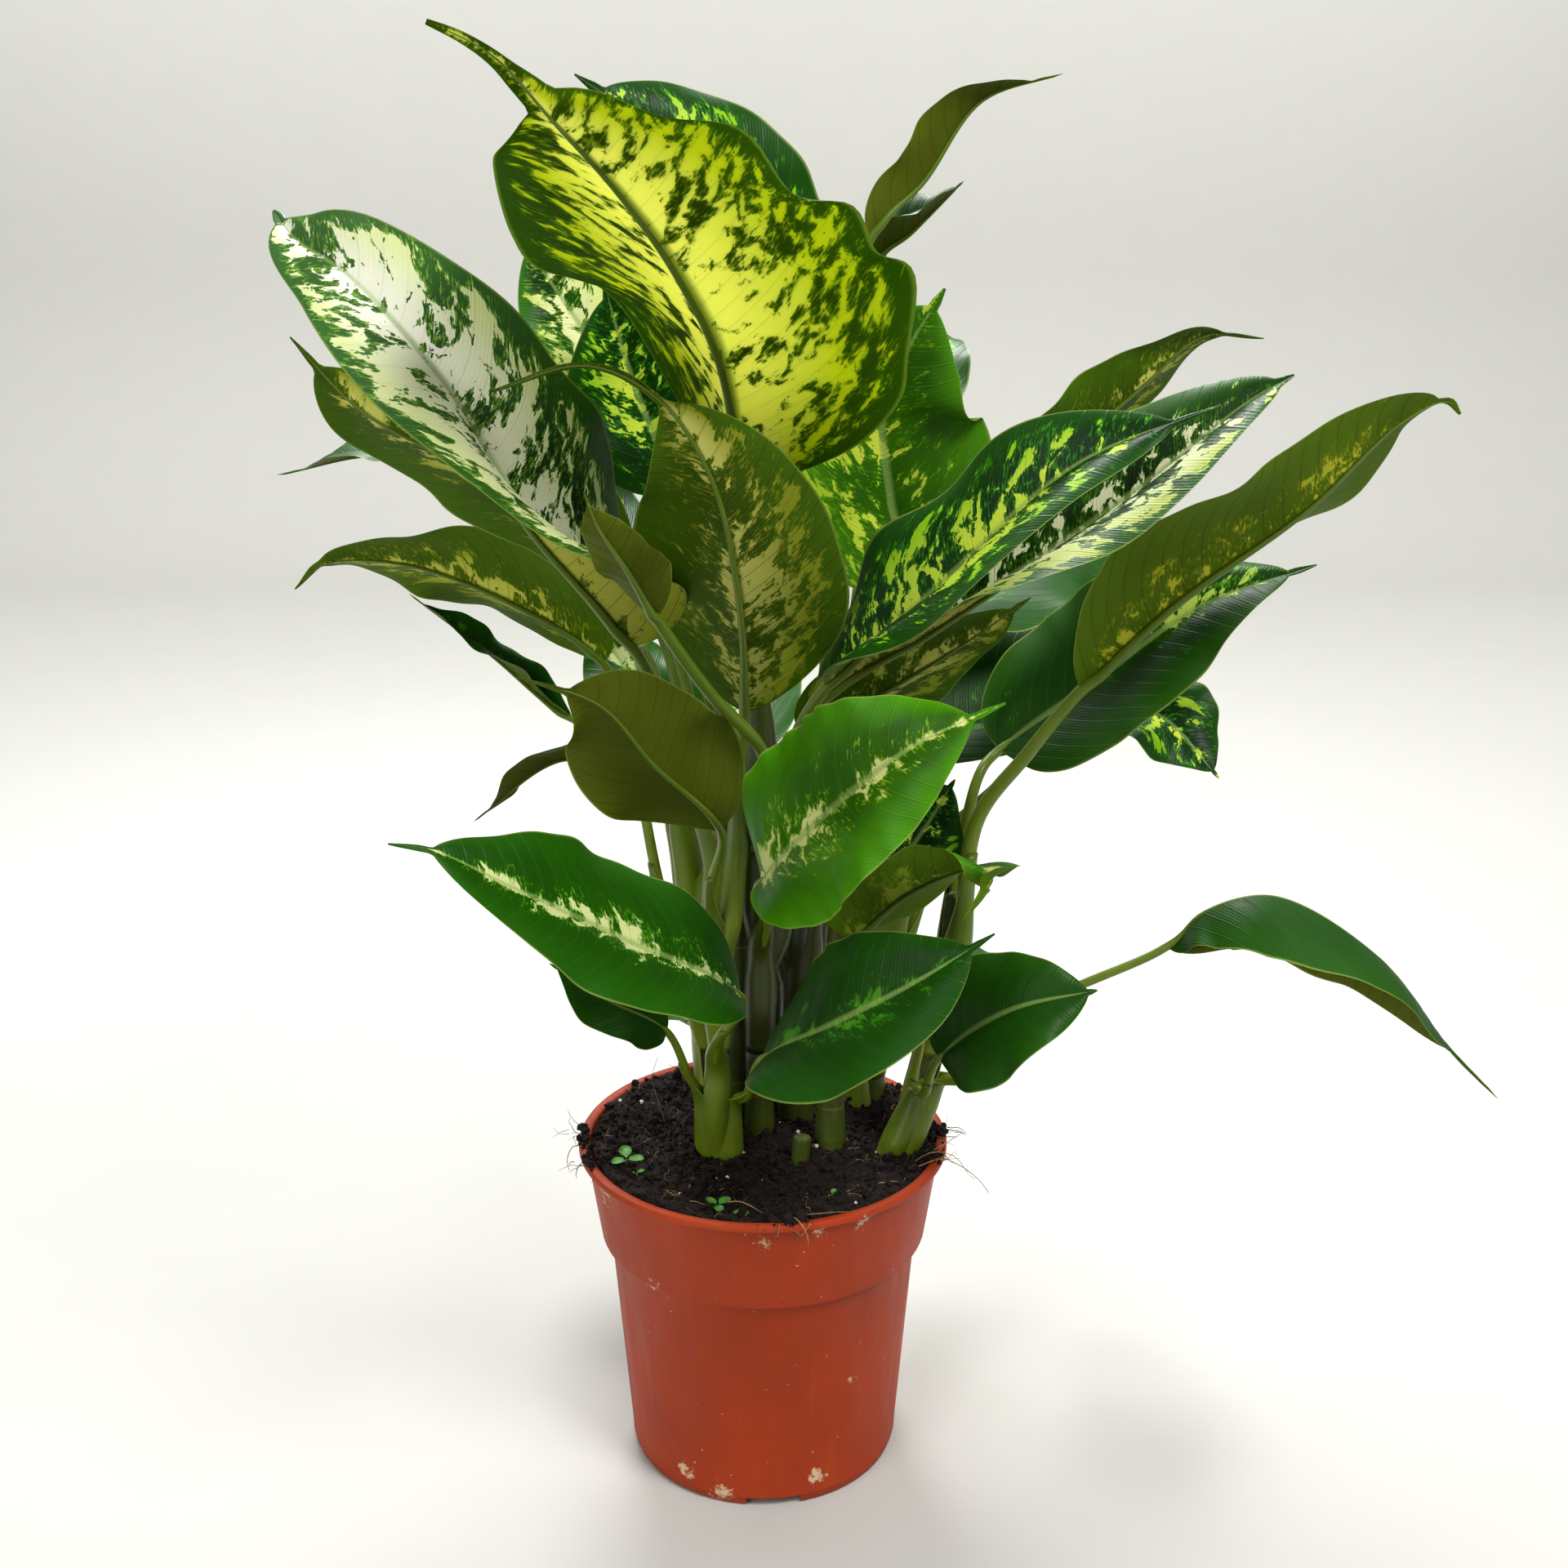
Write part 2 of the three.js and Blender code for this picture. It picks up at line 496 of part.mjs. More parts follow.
// The stub of an old shoot, cut off flat just above the soil
function makeStub(clear) {
  const [x, y] = STUB_PLACE;
  const curve = curveThrough([
    [x, y, SHOOT_ROOT - clear],
    [x, y + 1, SOIL_LEVEL],
    [x + 1, y + 2, SOIL_LEVEL + STUB_HEIGHT],
  ]);
  return tubeSolid(curve, () => STUB_RADIUS + clear, STUB_STEPS);
}

// The share of a curve's length at which it passes one of its own points
function shareOfPoint(curve, pointIndex) {
  const lengths = curve.getLengths(CURVE_SAMPLES);
  const sample = Math.round((pointIndex / (curve.points.length - 1)) * CURVE_SAMPLES);
  return lengths[sample] / lengths[CURVE_SAMPLES];
}

// How wide a blade is at a share of its length, as a share of its widest: a full body, then a drawn-out tip
function bladeWidth(share, { whip, fullness }) {
  const body = Math.sin(Math.PI * Math.min(1, share / (1 - whip)) ** fullness) ** EDGE_FULLNESS;
  const drawn = TIP_WIDTH + (WHIP_WIDTH * (1 - share)) / whip;
  return Math.max(body, Math.min(drawn, WHIP_WIDTH));
}

// The line of a leaf from its seat beside the shoot through its stalk and its blade to the tip
function leafLine(leaf) {
  const side = THREE.MathUtils.degToRad(leaf.side);
  const outward = new THREE.Vector3(Math.cos(side), Math.sin(side), 0);
  const seat = (rise, clear) => {
    const { place, radius } = shootAt(SHOOTS[leaf.shoot], leaf.height + rise);
    return place.addScaledVector(outward, radius + leaf.thick + clear).toArray();
  };
  const stalk = [seat(0, GAP), seat(SHEATH_LENGTH / 2, 2 * GAP), seat(SHEATH_LENGTH, 4 * GAP), ...leaf.stalk];
  const line = curveThrough([...stalk, ...leaf.midrib]);
  return { line, base: shareOfPoint(line, stalk.length) };
}

// A leaf: a round stalk that flattens into a waved blade, one closed sheet whose two faces are split alike
function makeLeaf(name) {
  const leaf = LEAVES[name];
  const { line, base } = leafLine(leaf);
  const face = new THREE.Vector3(...leaf.face).normalize();
  const phase = name.length + leaf.width;
  const points = { [1]: [], [-1]: [] };
  for (let row = 0; row <= STALK_ROWS + BLADE_ROWS; row += 1) {
    const along = Math.max(0, row - STALK_ROWS) / BLADE_ROWS;
    const share = row <= STALK_ROWS ? (base * row) / STALK_ROWS : base + (1 - base) * along;
    const tangent = line.getTangentAt(share);
    const twist = THREE.MathUtils.degToRad(leaf.twist * (along - 0.5));
    const foldShare = THREE.MathUtils.lerp(FOLD_AT_BASE, FOLD_AT_TIP, along);
    const fold = THREE.MathUtils.degToRad(leaf.fold * foldShare);
    const sideways = tangent.clone().cross(face.clone().applyAxisAngle(tangent, twist)).normalize();
    const upward = sideways.clone().cross(tangent);
    for (let column = 0; column <= COLUMNS; column += 1) {
      const across = (2 * column) / COLUMNS - 1;
      for (const layer of [1, -1]) {
        const point = line.getPointAt(share);
        if (row <= STALK_ROWS) {
          const radius = leaf.thick * (1 - (STALK_TAPER * row) / STALK_ROWS);
          const angle = (Math.PI / 2) * (1 - (across * COLUMNS) / (COLUMNS + 1));
          point.addScaledVector(sideways, radius * Math.cos(angle));
          point.addScaledVector(upward, layer * radius * Math.sin(angle));
        } else {
          const reach = (leaf.width / 2) * bladeWidth(along, leaf) * across;
          const swing = Math.sin(2 * Math.PI * WAVES_ALONG * along + phase + across);
          const ripple = swing * Math.sin(Math.PI * along);
          const rib = across === 0 && layer < 0 ? RIB_HEIGHT * (1 - along) : 0;
          const skin = (layer * BLADE_THICKNESS) / 2 - rib;
          const lean = Math.sign(across) * fold;
          point.addScaledVector(sideways, reach * Math.cos(fold) - skin * Math.sin(lean));
          point.addScaledVector(upward, Math.abs(reach) * Math.sin(fold) + skin * Math.cos(lean));
          point.addScaledVector(upward, leaf.wave * across ** 2 * ripple);
        }
        points[layer].push(...point);
      }
    }
  }
  return sheetSolid(points[1], points[-1]);
}

// Two like grids of points as the upper and lower face of one solid, joined round their border
function sheetSolid(upper, lower) {
  const rows = STALK_ROWS + BLADE_ROWS;
  const grid = new THREE.PlaneGeometry(1, 1, COLUMNS, rows);
  const count = grid.attributes.position.count;
  const corners = grid.index.array;
  const triangles = [];
  for (let corner = 0; corner < corners.length; corner += 3) {
    const [a, b, c] = corners.slice(corner, corner + 3);
    triangles.push(a, c, b, count + a, count + b, count + c);
  }
  const at = (row, column) => row * (COLUMNS + 1) + column;
  const border = [];
  for (let column = 0; column < COLUMNS; column += 1) border.push(at(0, column));
  for (let row = 0; row < rows; row += 1) border.push(at(row, COLUMNS));
  for (let column = COLUMNS; column > 0; column -= 1) border.push(at(rows, column));
  for (let row = rows; row > 0; row -= 1) border.push(at(row, 0));
  border.forEach((here, index) => {
    const next = border[(index + 1) % border.length];
    triangles.push(next, here, count + here, next, count + here, count + next);
  });
  const geometry = new THREE.BufferGeometry();
  geometry.setAttribute('position', new THREE.Float32BufferAttribute([...upper, ...lower], 3));
  geometry.setIndex(triangles);
  return solidOf(geometry);
}

// The soil: a filling of the pot with a lumpy top and a plain hole for each shoot
function makeSoil(bores) {
  const clear = WALL + GAP;
  const rise = (SOIL_LEVEL - STEP_HEIGHT) / COLLAR_HEIGHT;
  const topRadius = THREE.MathUtils.lerp(COLLAR_FOOT_RADIUS, COLLAR_TOP_RADIUS, rise) - clear - GAP;
  const profile = [
    [0, CAVITY_FLOOR + GAP],
    [BASE_RADIUS - clear, CAVITY_FLOOR + GAP],
    [BODY_TOP_RADIUS - clear, STEP_HEIGHT - WALL],
    [COLLAR_FOOT_RADIUS - clear, STEP_HEIGHT + WALL],
  ];
  for (let ring = SOIL_RINGS; ring >= 0; ring -= 1) {
    profile.push([(topRadius * ring) / SOIL_RINGS, SOIL_LEVEL]);
  }
  const geometry = latheAboutZ(profile, SOIL_SIDES);
  const position = geometry.attributes.position;
  for (let index = 0; index < position.count; index += 1) {
    if (position.getZ(index) < SOIL_LEVEL - GAP) continue;
    const x = position.getX(index) / SOIL_LUMP_LENGTH;
    const y = position.getY(index) / SOIL_LUMP_LENGTH;
    const lump = Math.sin(x) * Math.cos(y) + Math.sin(x / 2 + y) / 2;
    const radius = SOIL_LUMP_LENGTH * Math.hypot(x, y);
    const bank = THREE.MathUtils.smoothstep(radius, SOIL_BANK_FOOT, topRadius);
    position.setZ(index, SOIL_LEVEL + SOIL_BANK_HEIGHT * bank + SOIL_LUMP_HEIGHT * lump);
  }
  return bores.reduce((soil, bore) => soil.subtract(bore), solidOf(geometry));
}

function namedMesh(name, solid, skin) {
  const mesh = new THREE.Mesh(geometryOf(solid), skin);
  mesh.name = name;
  return mesh;
}

const plant = new THREE.Group();
const bores = [makeStub(GAP)];
for (const [name, shoot] of Object.entries(SHOOTS)) {
  plant.add(namedMesh(`shoot_${name}`, makeShoot(shoot, 0), shootSkin));
  bores.push(makeShoot(shoot, GAP));
}
for (const name of Object.keys(LEAVES)) plant.add(namedMesh(`leaf_${name}`, makeLeaf(name), leafSkin));
plant.add(namedMesh('stub', makeStub(0), shootSkin));
plant.add(namedMesh('pot', makePot(), terracottaPlastic));
plant.add(namedMesh('soil', makeSoil(bores), peat));

export default plant;
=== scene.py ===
"""The looks of a potted dieffenbachia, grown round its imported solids.

Lengths in the tables are millimetres and are turned to metres where they are used. +Z is up, the
viewer stands at -Y, and the origin is the middle of the pot's underside.
"""

import math
import random
from bisect import bisect_left

import bmesh
import bpy
from bpy.props import FloatProperty, FloatVectorProperty, IntProperty, PointerProperty
from mathutils import Euler, Matrix, Vector, noise


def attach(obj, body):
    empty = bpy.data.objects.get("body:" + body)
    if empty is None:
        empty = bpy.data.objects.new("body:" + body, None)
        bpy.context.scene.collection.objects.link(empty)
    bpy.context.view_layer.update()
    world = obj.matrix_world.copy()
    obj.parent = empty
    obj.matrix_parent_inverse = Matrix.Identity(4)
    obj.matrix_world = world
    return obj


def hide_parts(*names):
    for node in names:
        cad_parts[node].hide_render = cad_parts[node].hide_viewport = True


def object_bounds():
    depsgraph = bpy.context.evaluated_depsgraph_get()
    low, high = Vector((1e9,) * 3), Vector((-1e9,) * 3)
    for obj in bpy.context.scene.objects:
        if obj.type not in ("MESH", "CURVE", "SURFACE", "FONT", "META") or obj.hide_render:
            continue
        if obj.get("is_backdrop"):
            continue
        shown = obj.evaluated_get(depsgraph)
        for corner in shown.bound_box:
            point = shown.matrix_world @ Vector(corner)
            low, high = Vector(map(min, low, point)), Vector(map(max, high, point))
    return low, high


bl_info = {
    "name": "Potted Dieffenbachia",
    "version": (1, 0, 0),
    "blender": (4, 5, 0),
    "location": "3D View > Sidebar > Plant",
    "description": "Makes a potted dieffenbachia: pot, peat, shoots, splashed leaves and a studio",
    "category": "Add Mesh",
}

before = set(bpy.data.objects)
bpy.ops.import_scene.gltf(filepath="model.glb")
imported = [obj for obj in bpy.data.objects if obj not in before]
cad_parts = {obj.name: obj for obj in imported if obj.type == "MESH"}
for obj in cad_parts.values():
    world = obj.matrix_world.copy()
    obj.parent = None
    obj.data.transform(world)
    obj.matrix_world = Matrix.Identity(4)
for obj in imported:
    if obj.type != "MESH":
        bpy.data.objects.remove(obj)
CAD_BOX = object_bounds()

MM = 0.001
CLEAR = 0.3 * MM


def srgb(code):
    """A colour written as RRGGBB, as linear red, green, blue and alpha."""
    channels = [int(code[i:i + 2], 16) / 255 for i in (0, 2, 4)]
    return (*(c / 12.92 if c <= 0.04045 else ((c + 0.055) / 1.055) ** 2.4 for c in channels), 1.0)


# Shoots: points of each one's middle line, from its root in the soil, and its radius at foot and top
SHOOTS = {
    "front_left": ([(-20, -4, 120), (-20, -2, 200), (-13, 0, 296)], 5.8, 3.8),
    "centre": ([(-2, 14, 120), (-1, 15, 200), (2, 14, 345)], 7.5, 5),
    "centre_left": ([(-13, 27, 120), (-12, 29, 200), (-10, 31, 300)], 7, 5.5),
    "centre_back": ([(16, 34, 120), (16, 36, 200), (20, 38, 315)], 9.5, 5.5),
    "centre_right": ([(31, -3, 120), (32, 4, 210), (36, 10, 280)], 8, 4.5),
    "right": ([(50, -10, 120), (60, -9, 150), (76, -2, 195), (83, 4, 235), (86, 7, 272)], 8.5, 3.5),
    "back_left": ([(-26, 36, 120), (-26, 37, 200), (-33, 38, 295)], 7, 5),
    "back_right": ([(49, 39, 120), (54, 44, 200), (62, 52, 305)], 9, 5),
    "back": ([(4, 58, 120), (4, 62, 200), (-7, 70, 300)], 9, 5.5),
}
STUB = [(17, -14, 120), (17, -13, 148), (18, -12, 160)]
STUB_RADIUS = 4

# Leaves. Each has the shoot, the height and the side in degrees from +X that it grows from, its width,
# its stalk's radius, the way its upper face looks, the points that its stalk passes and the points of
# its midrib from base to tip. Where it differs from the habit, it also has its fold and twist in
# degrees, the share of its length that is a drawn-out tip, its fullness, the height of its edge waves
# and its markings. A frilled leaf has the height, the number and the side of its frills, 0 for both
# sides. A blade with a fullness under 1 is widest nearer its base.
HABIT = dict(fold=10, twist=0, whip=0.08, fullness=0.84, wave=4, look="plain")
LEAVES = {
    "top_front": dict(
        shoot="centre", height=314, side=-105, width=140, thick=4.2, face=(0.32, 0.88, 0.3), fold=14,
        twist=20, whip=0.15, fullness=0.78, wave=5, look="backlit", frill=(4.0, 6, -1),
        stalk=[(-2, -14, 390)], midrib=[(-7, -45, 461), (-14, -98, 511), (-27, -136, 541),
        (-43, -176, 566), (-59, -212, 585), (-71, -230, 599), (-79, -234, 604), (-89, -238, 608)]),
    "top_back": dict(
        shoot="back", height=262, side=-60, width=80, thick=3.4, face=(-0.1, -0.8, 0.6), fold=12, wave=5,
        look="lime", stalk=[(-4, 40, 400)], midrib=[(10, 20, 498), (-7, 28, 544), (-35, 28, 589),
        (-74, 18, 616)]),
    "centre_under": dict(
        shoot="front_left", height=264, side=-75, width=84, thick=3.4, face=(0.12, 0.97, 0.2), fold=8,
        whip=0.28, wave=3, look="dusky", stalk=[(-10, -26, 330)], midrib=[(-7, -35, 366), (-9, -87, 429),
        (-18, -115, 473), (-35, -125, 500), (-59, -124, 511), (-93, -120, 502)]),
    "right_glossy": dict(
        shoot="centre_back", height=285, side=-60, width=92, thick=3.2, face=(0.22, -0.93, 0.3), fold=12,
        whip=0.06, wave=2, look="glossy", stalk=[(36, 26, 350)], midrib=[(63, 10, 404), (54, 2, 449),
        (50, -8, 487), (59, -14, 510), (73, -20, 534)]),
    "left_slim": dict(
        shoot="centre", height=264, side=-122, width=27, thick=3.2, face=(0.15, 0.93, 0.3), fold=20,
        wave=2, stalk=[(0, -22, 312), (1, -53, 352), (-20, -84, 386)], midrib=[(-38, -114, 421),
        (-46, -136, 442), (-55, -150, 460), (-59, -154, 472)]),
    "left_high": dict(
        shoot="front_left", height=262, side=185, width=94, thick=3.4, face=(0.58, -0.62, 0.53), fold=33,
        twist=-112, whip=0.03, fullness=0.64, look="cream", frill=(0.9, 5, 0), stalk=[(-36, -12, 345)],
        midrib=[(-51, -48, 395), (-88, -92, 455), (-109, -116, 503), (-139, -120, 540), (-158, -112, 552),
        (-169, -98, 562)]),
    "left_under": dict(
        shoot="back_left", height=262, side=235, width=70, thick=3.0, face=(-0.15, 0.6, 0.78), fold=12,
        fullness=1.1, wave=3, look="dusky", stalk=[(-40, 26, 325), (-49, 4, 358)],
        midrib=[(-54, -24, 399), (-74, -30, 434), (-108, -46, 464), (-150, -62, 490), (-173, -72, 518)]),
    "left_level": dict(
        shoot="back_left", height=206, side=215, width=68, thick=2.8, face=(0.05, 0.62, 0.78), fold=12,
        whip=0.1, look="level", stalk=[(-46, 28, 262), (-58, 34, 325)], midrib=[(-70, 22, 374),
        (-103, 14, 400), (-149, 2, 421), (-182, -8, 423), (-194, -11, 413)]),
    "left_dark": dict(
        shoot="back_left", height=264, side=175, width=20, thick=2.4, face=(0.6, -0.35, 0.75), fold=36,
        wave=3, look="faint", stalk=[(-48, 42, 325)], midrib=[(-87, 44, 343), (-121, 36, 375),
        (-154, 26, 404)]),
    "left_far": dict(
        shoot="back_left", height=262, side=120, width=60, thick=2.6, face=(0.0, -0.1, 1.0), fold=14,
        whip=0.12, wave=3, stalk=[(-54, 62, 370)], midrib=[(-125, 80, 427), (-169, 84, 457),
        (-222, 82, 449)]),
    "left_curl": dict(
        shoot="front_left", height=222, side=235, width=66, thick=2.6, face=(-0.3, 0.85, 0.45), fold=14,
        whip=0.15, frill=(0.6, 5, 0), stalk=[(-22, -24, 285)], midrib=[(-17, -52, 320), (-42, -85, 358),
        (-61, -105, 387), (-90, -112, 399)]),
    "left_low_tip": dict(
        shoot="back_left", height=232, side=295, width=44, thick=2.2, face=(0.0, 0.4, 0.9), fold=14,
        whip=0.1, wave=3, stalk=[(-22, 20, 280), (-28, 12, 312)], midrib=[(-51, 2, 326), (-85, -10, 339),
        (-123, -24, 315)]),
    "left_low": dict(
        shoot="front_left", height=168, side=-95, width=72, thick=3.0, face=(0.1, -0.6, 0.8), fold=8,
        look="streak", stalk=[(-20, -30, 215)], midrib=[(-9, -55, 247), (-54, -100, 291),
        (-93, -135, 326), (-117, -148, 344), (-132, -152, 348)]),
    "left_lowest": dict(
        shoot="front_left", height=150, side=178, width=42, thick=2.4, face=(0.2, -0.55, 0.8), whip=0.06,
        wave=3, stalk=[(-34, -8, 190)], midrib=[(-43, -15, 214), (-67, -30, 235), (-91, -38, 256)]),
    "centre_bright": dict(
        shoot="centre", height=215, side=-95, width=75, thick=3.2, face=(0.15, -0.75, 0.65), fold=8,
        wave=5, look="fresh", frill=(0.9, 11, 0), stalk=[(2, -20, 270)], midrib=[(-1, -68, 302),
        (26, -114, 348), (54, -138, 379), (86, -142, 396)]),
    "front_dark": dict(
        shoot="front_left", height=150, side=-30, width=71, thick=2.8, face=(0.15, -0.65, 0.75), fold=8,
        wave=3, look="faint", stalk=[(-8, -12, 180)], midrib=[(0, -42, 213), (29, -80, 246),
        (60, -95, 270), (91, -98, 292)]),
    "right_low": dict(
        shoot="right", height=158, side=-105, width=58, thick=2.6, face=(0.1, -0.7, 0.7), fold=8,
        whip=0.04, wave=3, stalk=[(72, -20, 185)], midrib=[(77, -36, 210), (104, -64, 245),
        (138, -70, 256)]),
    "right_under": dict(
        shoot="centre_back", height=244, side=-106, width=58, thick=2.8, face=(-0.15, 0.75, 0.6), wave=3,
        look="dusky", stalk=[(16, 20, 296)], midrib=[(19, 10, 344), (49, 2, 363), (83, -6, 386),
        (113, -12, 409)]),
    "centre_curl": dict(
        shoot="centre_right", height=212, side=-70, width=68, thick=2.6, face=(-0.1, 0.6, 0.75), fold=14,
        whip=0.12, look="fresh", stalk=[(40, -12, 262)], midrib=[(39, -30, 263), (60, -55, 293),
        (84, -78, 312), (90, -92, 313), (78, -98, 297)]),
    "centre_shaded": dict(
        shoot="centre_back", height=222, side=-40, width=52, thick=2.4, face=(-0.3, -0.85, 0.4),
        whip=0.06, wave=3, look="lime", stalk=[(42, 28, 250)], midrib=[(55, 22, 269), (72, 14, 297),
        (85, 4, 325)]),
    "right_far_low": dict(
        shoot="right", height=160, side=-50, width=68, thick=2.6, face=(0.15, 0.3, 0.95), fold=-38,
        whip=0.16, wave=2, stalk=[(94, -14, 190), (125, -14, 225)], midrib=[(179, -14, 253),
        (193, -18, 271), (221, -26, 281), (266, -36, 256), (294, -42, 221), (320, -46, 194)]),
    "right_cream": dict(
        shoot="centre", height=250, side=-15, width=84, thick=3.4, face=(-0.4, -0.42, 0.8), fold=28,
        twist=26, whip=0.02, fullness=1.0, look="cream_dark", stalk=[(26, 2, 328)],
        midrib=[(23, -16, 363), (71, -48, 404), (137, -80, 459), (176, -97, 496), (191, -100, 506)]),
    "right_bright": dict(
        shoot="centre", height=284, side=-52, width=62, thick=3.4, face=(-0.3, -0.62, 0.73), fold=25,
        fullness=0.98, look="lime", frill=(2.0, 3, 0), stalk=[(14, -20, 350)], midrib=[(27, -50, 381),
        (65, -103, 430), (109, -133, 478), (155, -142, 499)]),
    "right_back": dict(
        shoot="back_right", height=276, side=-10, width=52, thick=3.0, face=(0.1, 0.6, 0.8), fold=14,
        whip=0.1, look="dusky", stalk=[(82, 56, 370)], midrib=[(85, 60, 424), (135, 62, 461),
        (170, 62, 490), (195, 60, 512), (221, 55, 511)]),
    "right_far": dict(
        shoot="right", height=220, side=-60, width=88, thick=4.0, face=(-0.42, 0.62, 0.66), fold=18,
        whip=0.06, fullness=0.95, look="spotted", stalk=[(94, -6, 309), (114, -10, 340)],
        midrib=[(136, -14, 370), (168, -36, 411), (212, -58, 452), (242, -70, 487), (259, -68, 494),
        (265, -66, 489)]),
    "right_dark": dict(
        shoot="right", height=236, side=80, width=86, thick=3.2, face=(0.05, -0.55, 0.85), whip=0.07,
        fullness=0.66, look="patched", stalk=[(98, 24, 321)], midrib=[(108, 34, 330), (148, 28, 362),
        (192, 18, 399), (238, 8, 419)]),
    "right_drop": dict(
        shoot="back_right", height=240, side=0, width=48, thick=2.6, face=(0.1, -0.7, 0.7), whip=0.06,
        look="lime", stalk=[(100, 48, 300)], midrib=[(158, 50, 346), (181, 36, 345), (205, 18, 321)]),
    "top_thin": dict(
        shoot="centre_back", height=262, side=60, width=36, thick=2.8, face=(-0.85, 0.3, 0.4), fold=34,
        whip=0.12, wave=2, stalk=[(34, 52, 430)], midrib=[(48, 52, 554), (70, 58, 577), (94, 58, 609),
        (127, 50, 619)]),
    "top_folded": dict(
        shoot="back_right", height=250, side=110, width=36, thick=2.6, face=(-0.6, -0.1, 0.8), fold=34,
        wave=2, stalk=[(58, 74, 400)], midrib=[(51, 84, 542), (67, 80, 556), (89, 70, 577)]),
    "top_left": dict(
        shoot="back", height=240, side=-150, width=62, thick=2.8, face=(0.2, -0.9, 0.4), whip=0.06,
        wave=3, look="bright", stalk=[(-40, 50, 380)], midrib=[(-52, 22, 477), (-73, 18, 515),
        (-97, 8, 553)]),
    "top_left_inner": dict(
        shoot="centre_back", height=236, side=176, width=66, thick=3.0, face=(0.1, -0.95, 0.3), fold=12,
        whip=0.06, wave=3, look="lime", stalk=[(-6, 36, 380)], midrib=[(-35, 8, 451), (-52, 0, 496),
        (-62, -12, 536)]),
    "back_high": dict(
        shoot="back", height=232, side=70, width=84, thick=3.2, face=(0, -0.4, 0.9), wave=5, look="cream",
        stalk=[(2, 100, 390)], midrib=[(11, 110, 423), (22, 160, 464), (29, 200, 498), (30, 230, 517)]),
    "back_left_high": dict(
        shoot="back_left", height=246, side=60, width=80, thick=3.0, face=(0.1, -0.3, 0.95), wave=5,
        look="lime", stalk=[(-38, 74, 340)], midrib=[(-51, 90, 379), (-94, 140, 418), (-138, 180, 454),
        (-173, 196, 482)]),
    "back_right_high": dict(
        shoot="back_right", height=222, side=75, width=86, thick=3.0, face=(-0.1, -0.62, 0.78), wave=5,
        look="faint", stalk=[(66, 78, 340)], midrib=[(74, 92, 366), (110, 138, 383), (151, 172, 396),
        (197, 192, 410)]),
    "back_mid": dict(
        shoot="back", height=190, side=124, width=76, thick=3.0, face=(0, -0.7, 0.7), look="streak",
        stalk=[(-18, 94, 290)], midrib=[(-7, 120, 302), (-16, 175, 327), (-23, 220, 343),
        (-29, 255, 350)]),
    "back_right_mid": dict(
        shoot="back_right", height=190, side=20, width=78, thick=2.8, face=(-0.15, -0.7, 0.7),
        look="faint", stalk=[(80, 62, 270)], midrib=[(77, 86, 307), (119, 118, 331), (165, 142, 348),
        (209, 152, 355)]),
    "back_left_mid": dict(
        shoot="back_left", height=180, side=110, width=64, thick=2.6, face=(0.2, -0.7, 0.7),
        look="streak", stalk=[(-34, 64, 240)], midrib=[(-34, 82, 296), (-51, 106, 327), (-72, 130, 352),
        (-89, 146, 372)]),
    "back_low": dict(
        shoot="back_right", height=152, side=150, width=66, thick=2.6, face=(0, -0.75, 0.65),
        stalk=[(34, 62, 200)], midrib=[(32, 92, 176), (55, 138, 174), (75, 172, 170), (90, 192, 164)]),
    "back_upper_left": dict(
        shoot="back", height=246, side=160, width=72, thick=2.8, face=(0.2, -0.4, 0.9), look="cream",
        stalk=[(-34, 78, 400)], midrib=[(-39, 112, 446), (-69, 158, 480), (-90, 190, 506),
        (-98, 212, 518)]),
    "back_upper_right": dict(
        shoot="centre_back", height=232, side=14, width=72, thick=2.8, face=(-0.2, -0.4, 0.9),
        look="lime", stalk=[(42, 64, 380)], midrib=[(56, 112, 453), (70, 150, 485), (72, 182, 507),
        (67, 202, 518)]),
    "back_low_left": dict(
        shoot="back", height=160, side=172, width=62, thick=2.6, face=(0.1, -0.2, 0.97), look="streak",
        stalk=[(-34, 66, 198)], midrib=[(-35, 104, 166), (-63, 142, 161), (-85, 170, 154),
        (-103, 186, 147)]),
    "back_low_right": dict(
        shoot="right", height=196, side=104, width=58, thick=2.4, face=(-0.1, -0.2, 0.97),
        stalk=[(92, 34, 235)], midrib=[(102, 62, 210), (126, 100, 194), (148, 130, 177),
        (157, 146, 163)]),
}


# Lines, grids and pieces

def smooth(low, high, value):
    """Rises gently from 0 at low to 1 at high."""
    share = min(max((value - low) / (high - low), 0.0), 1.0)
    return share * share * (3 - 2 * share)


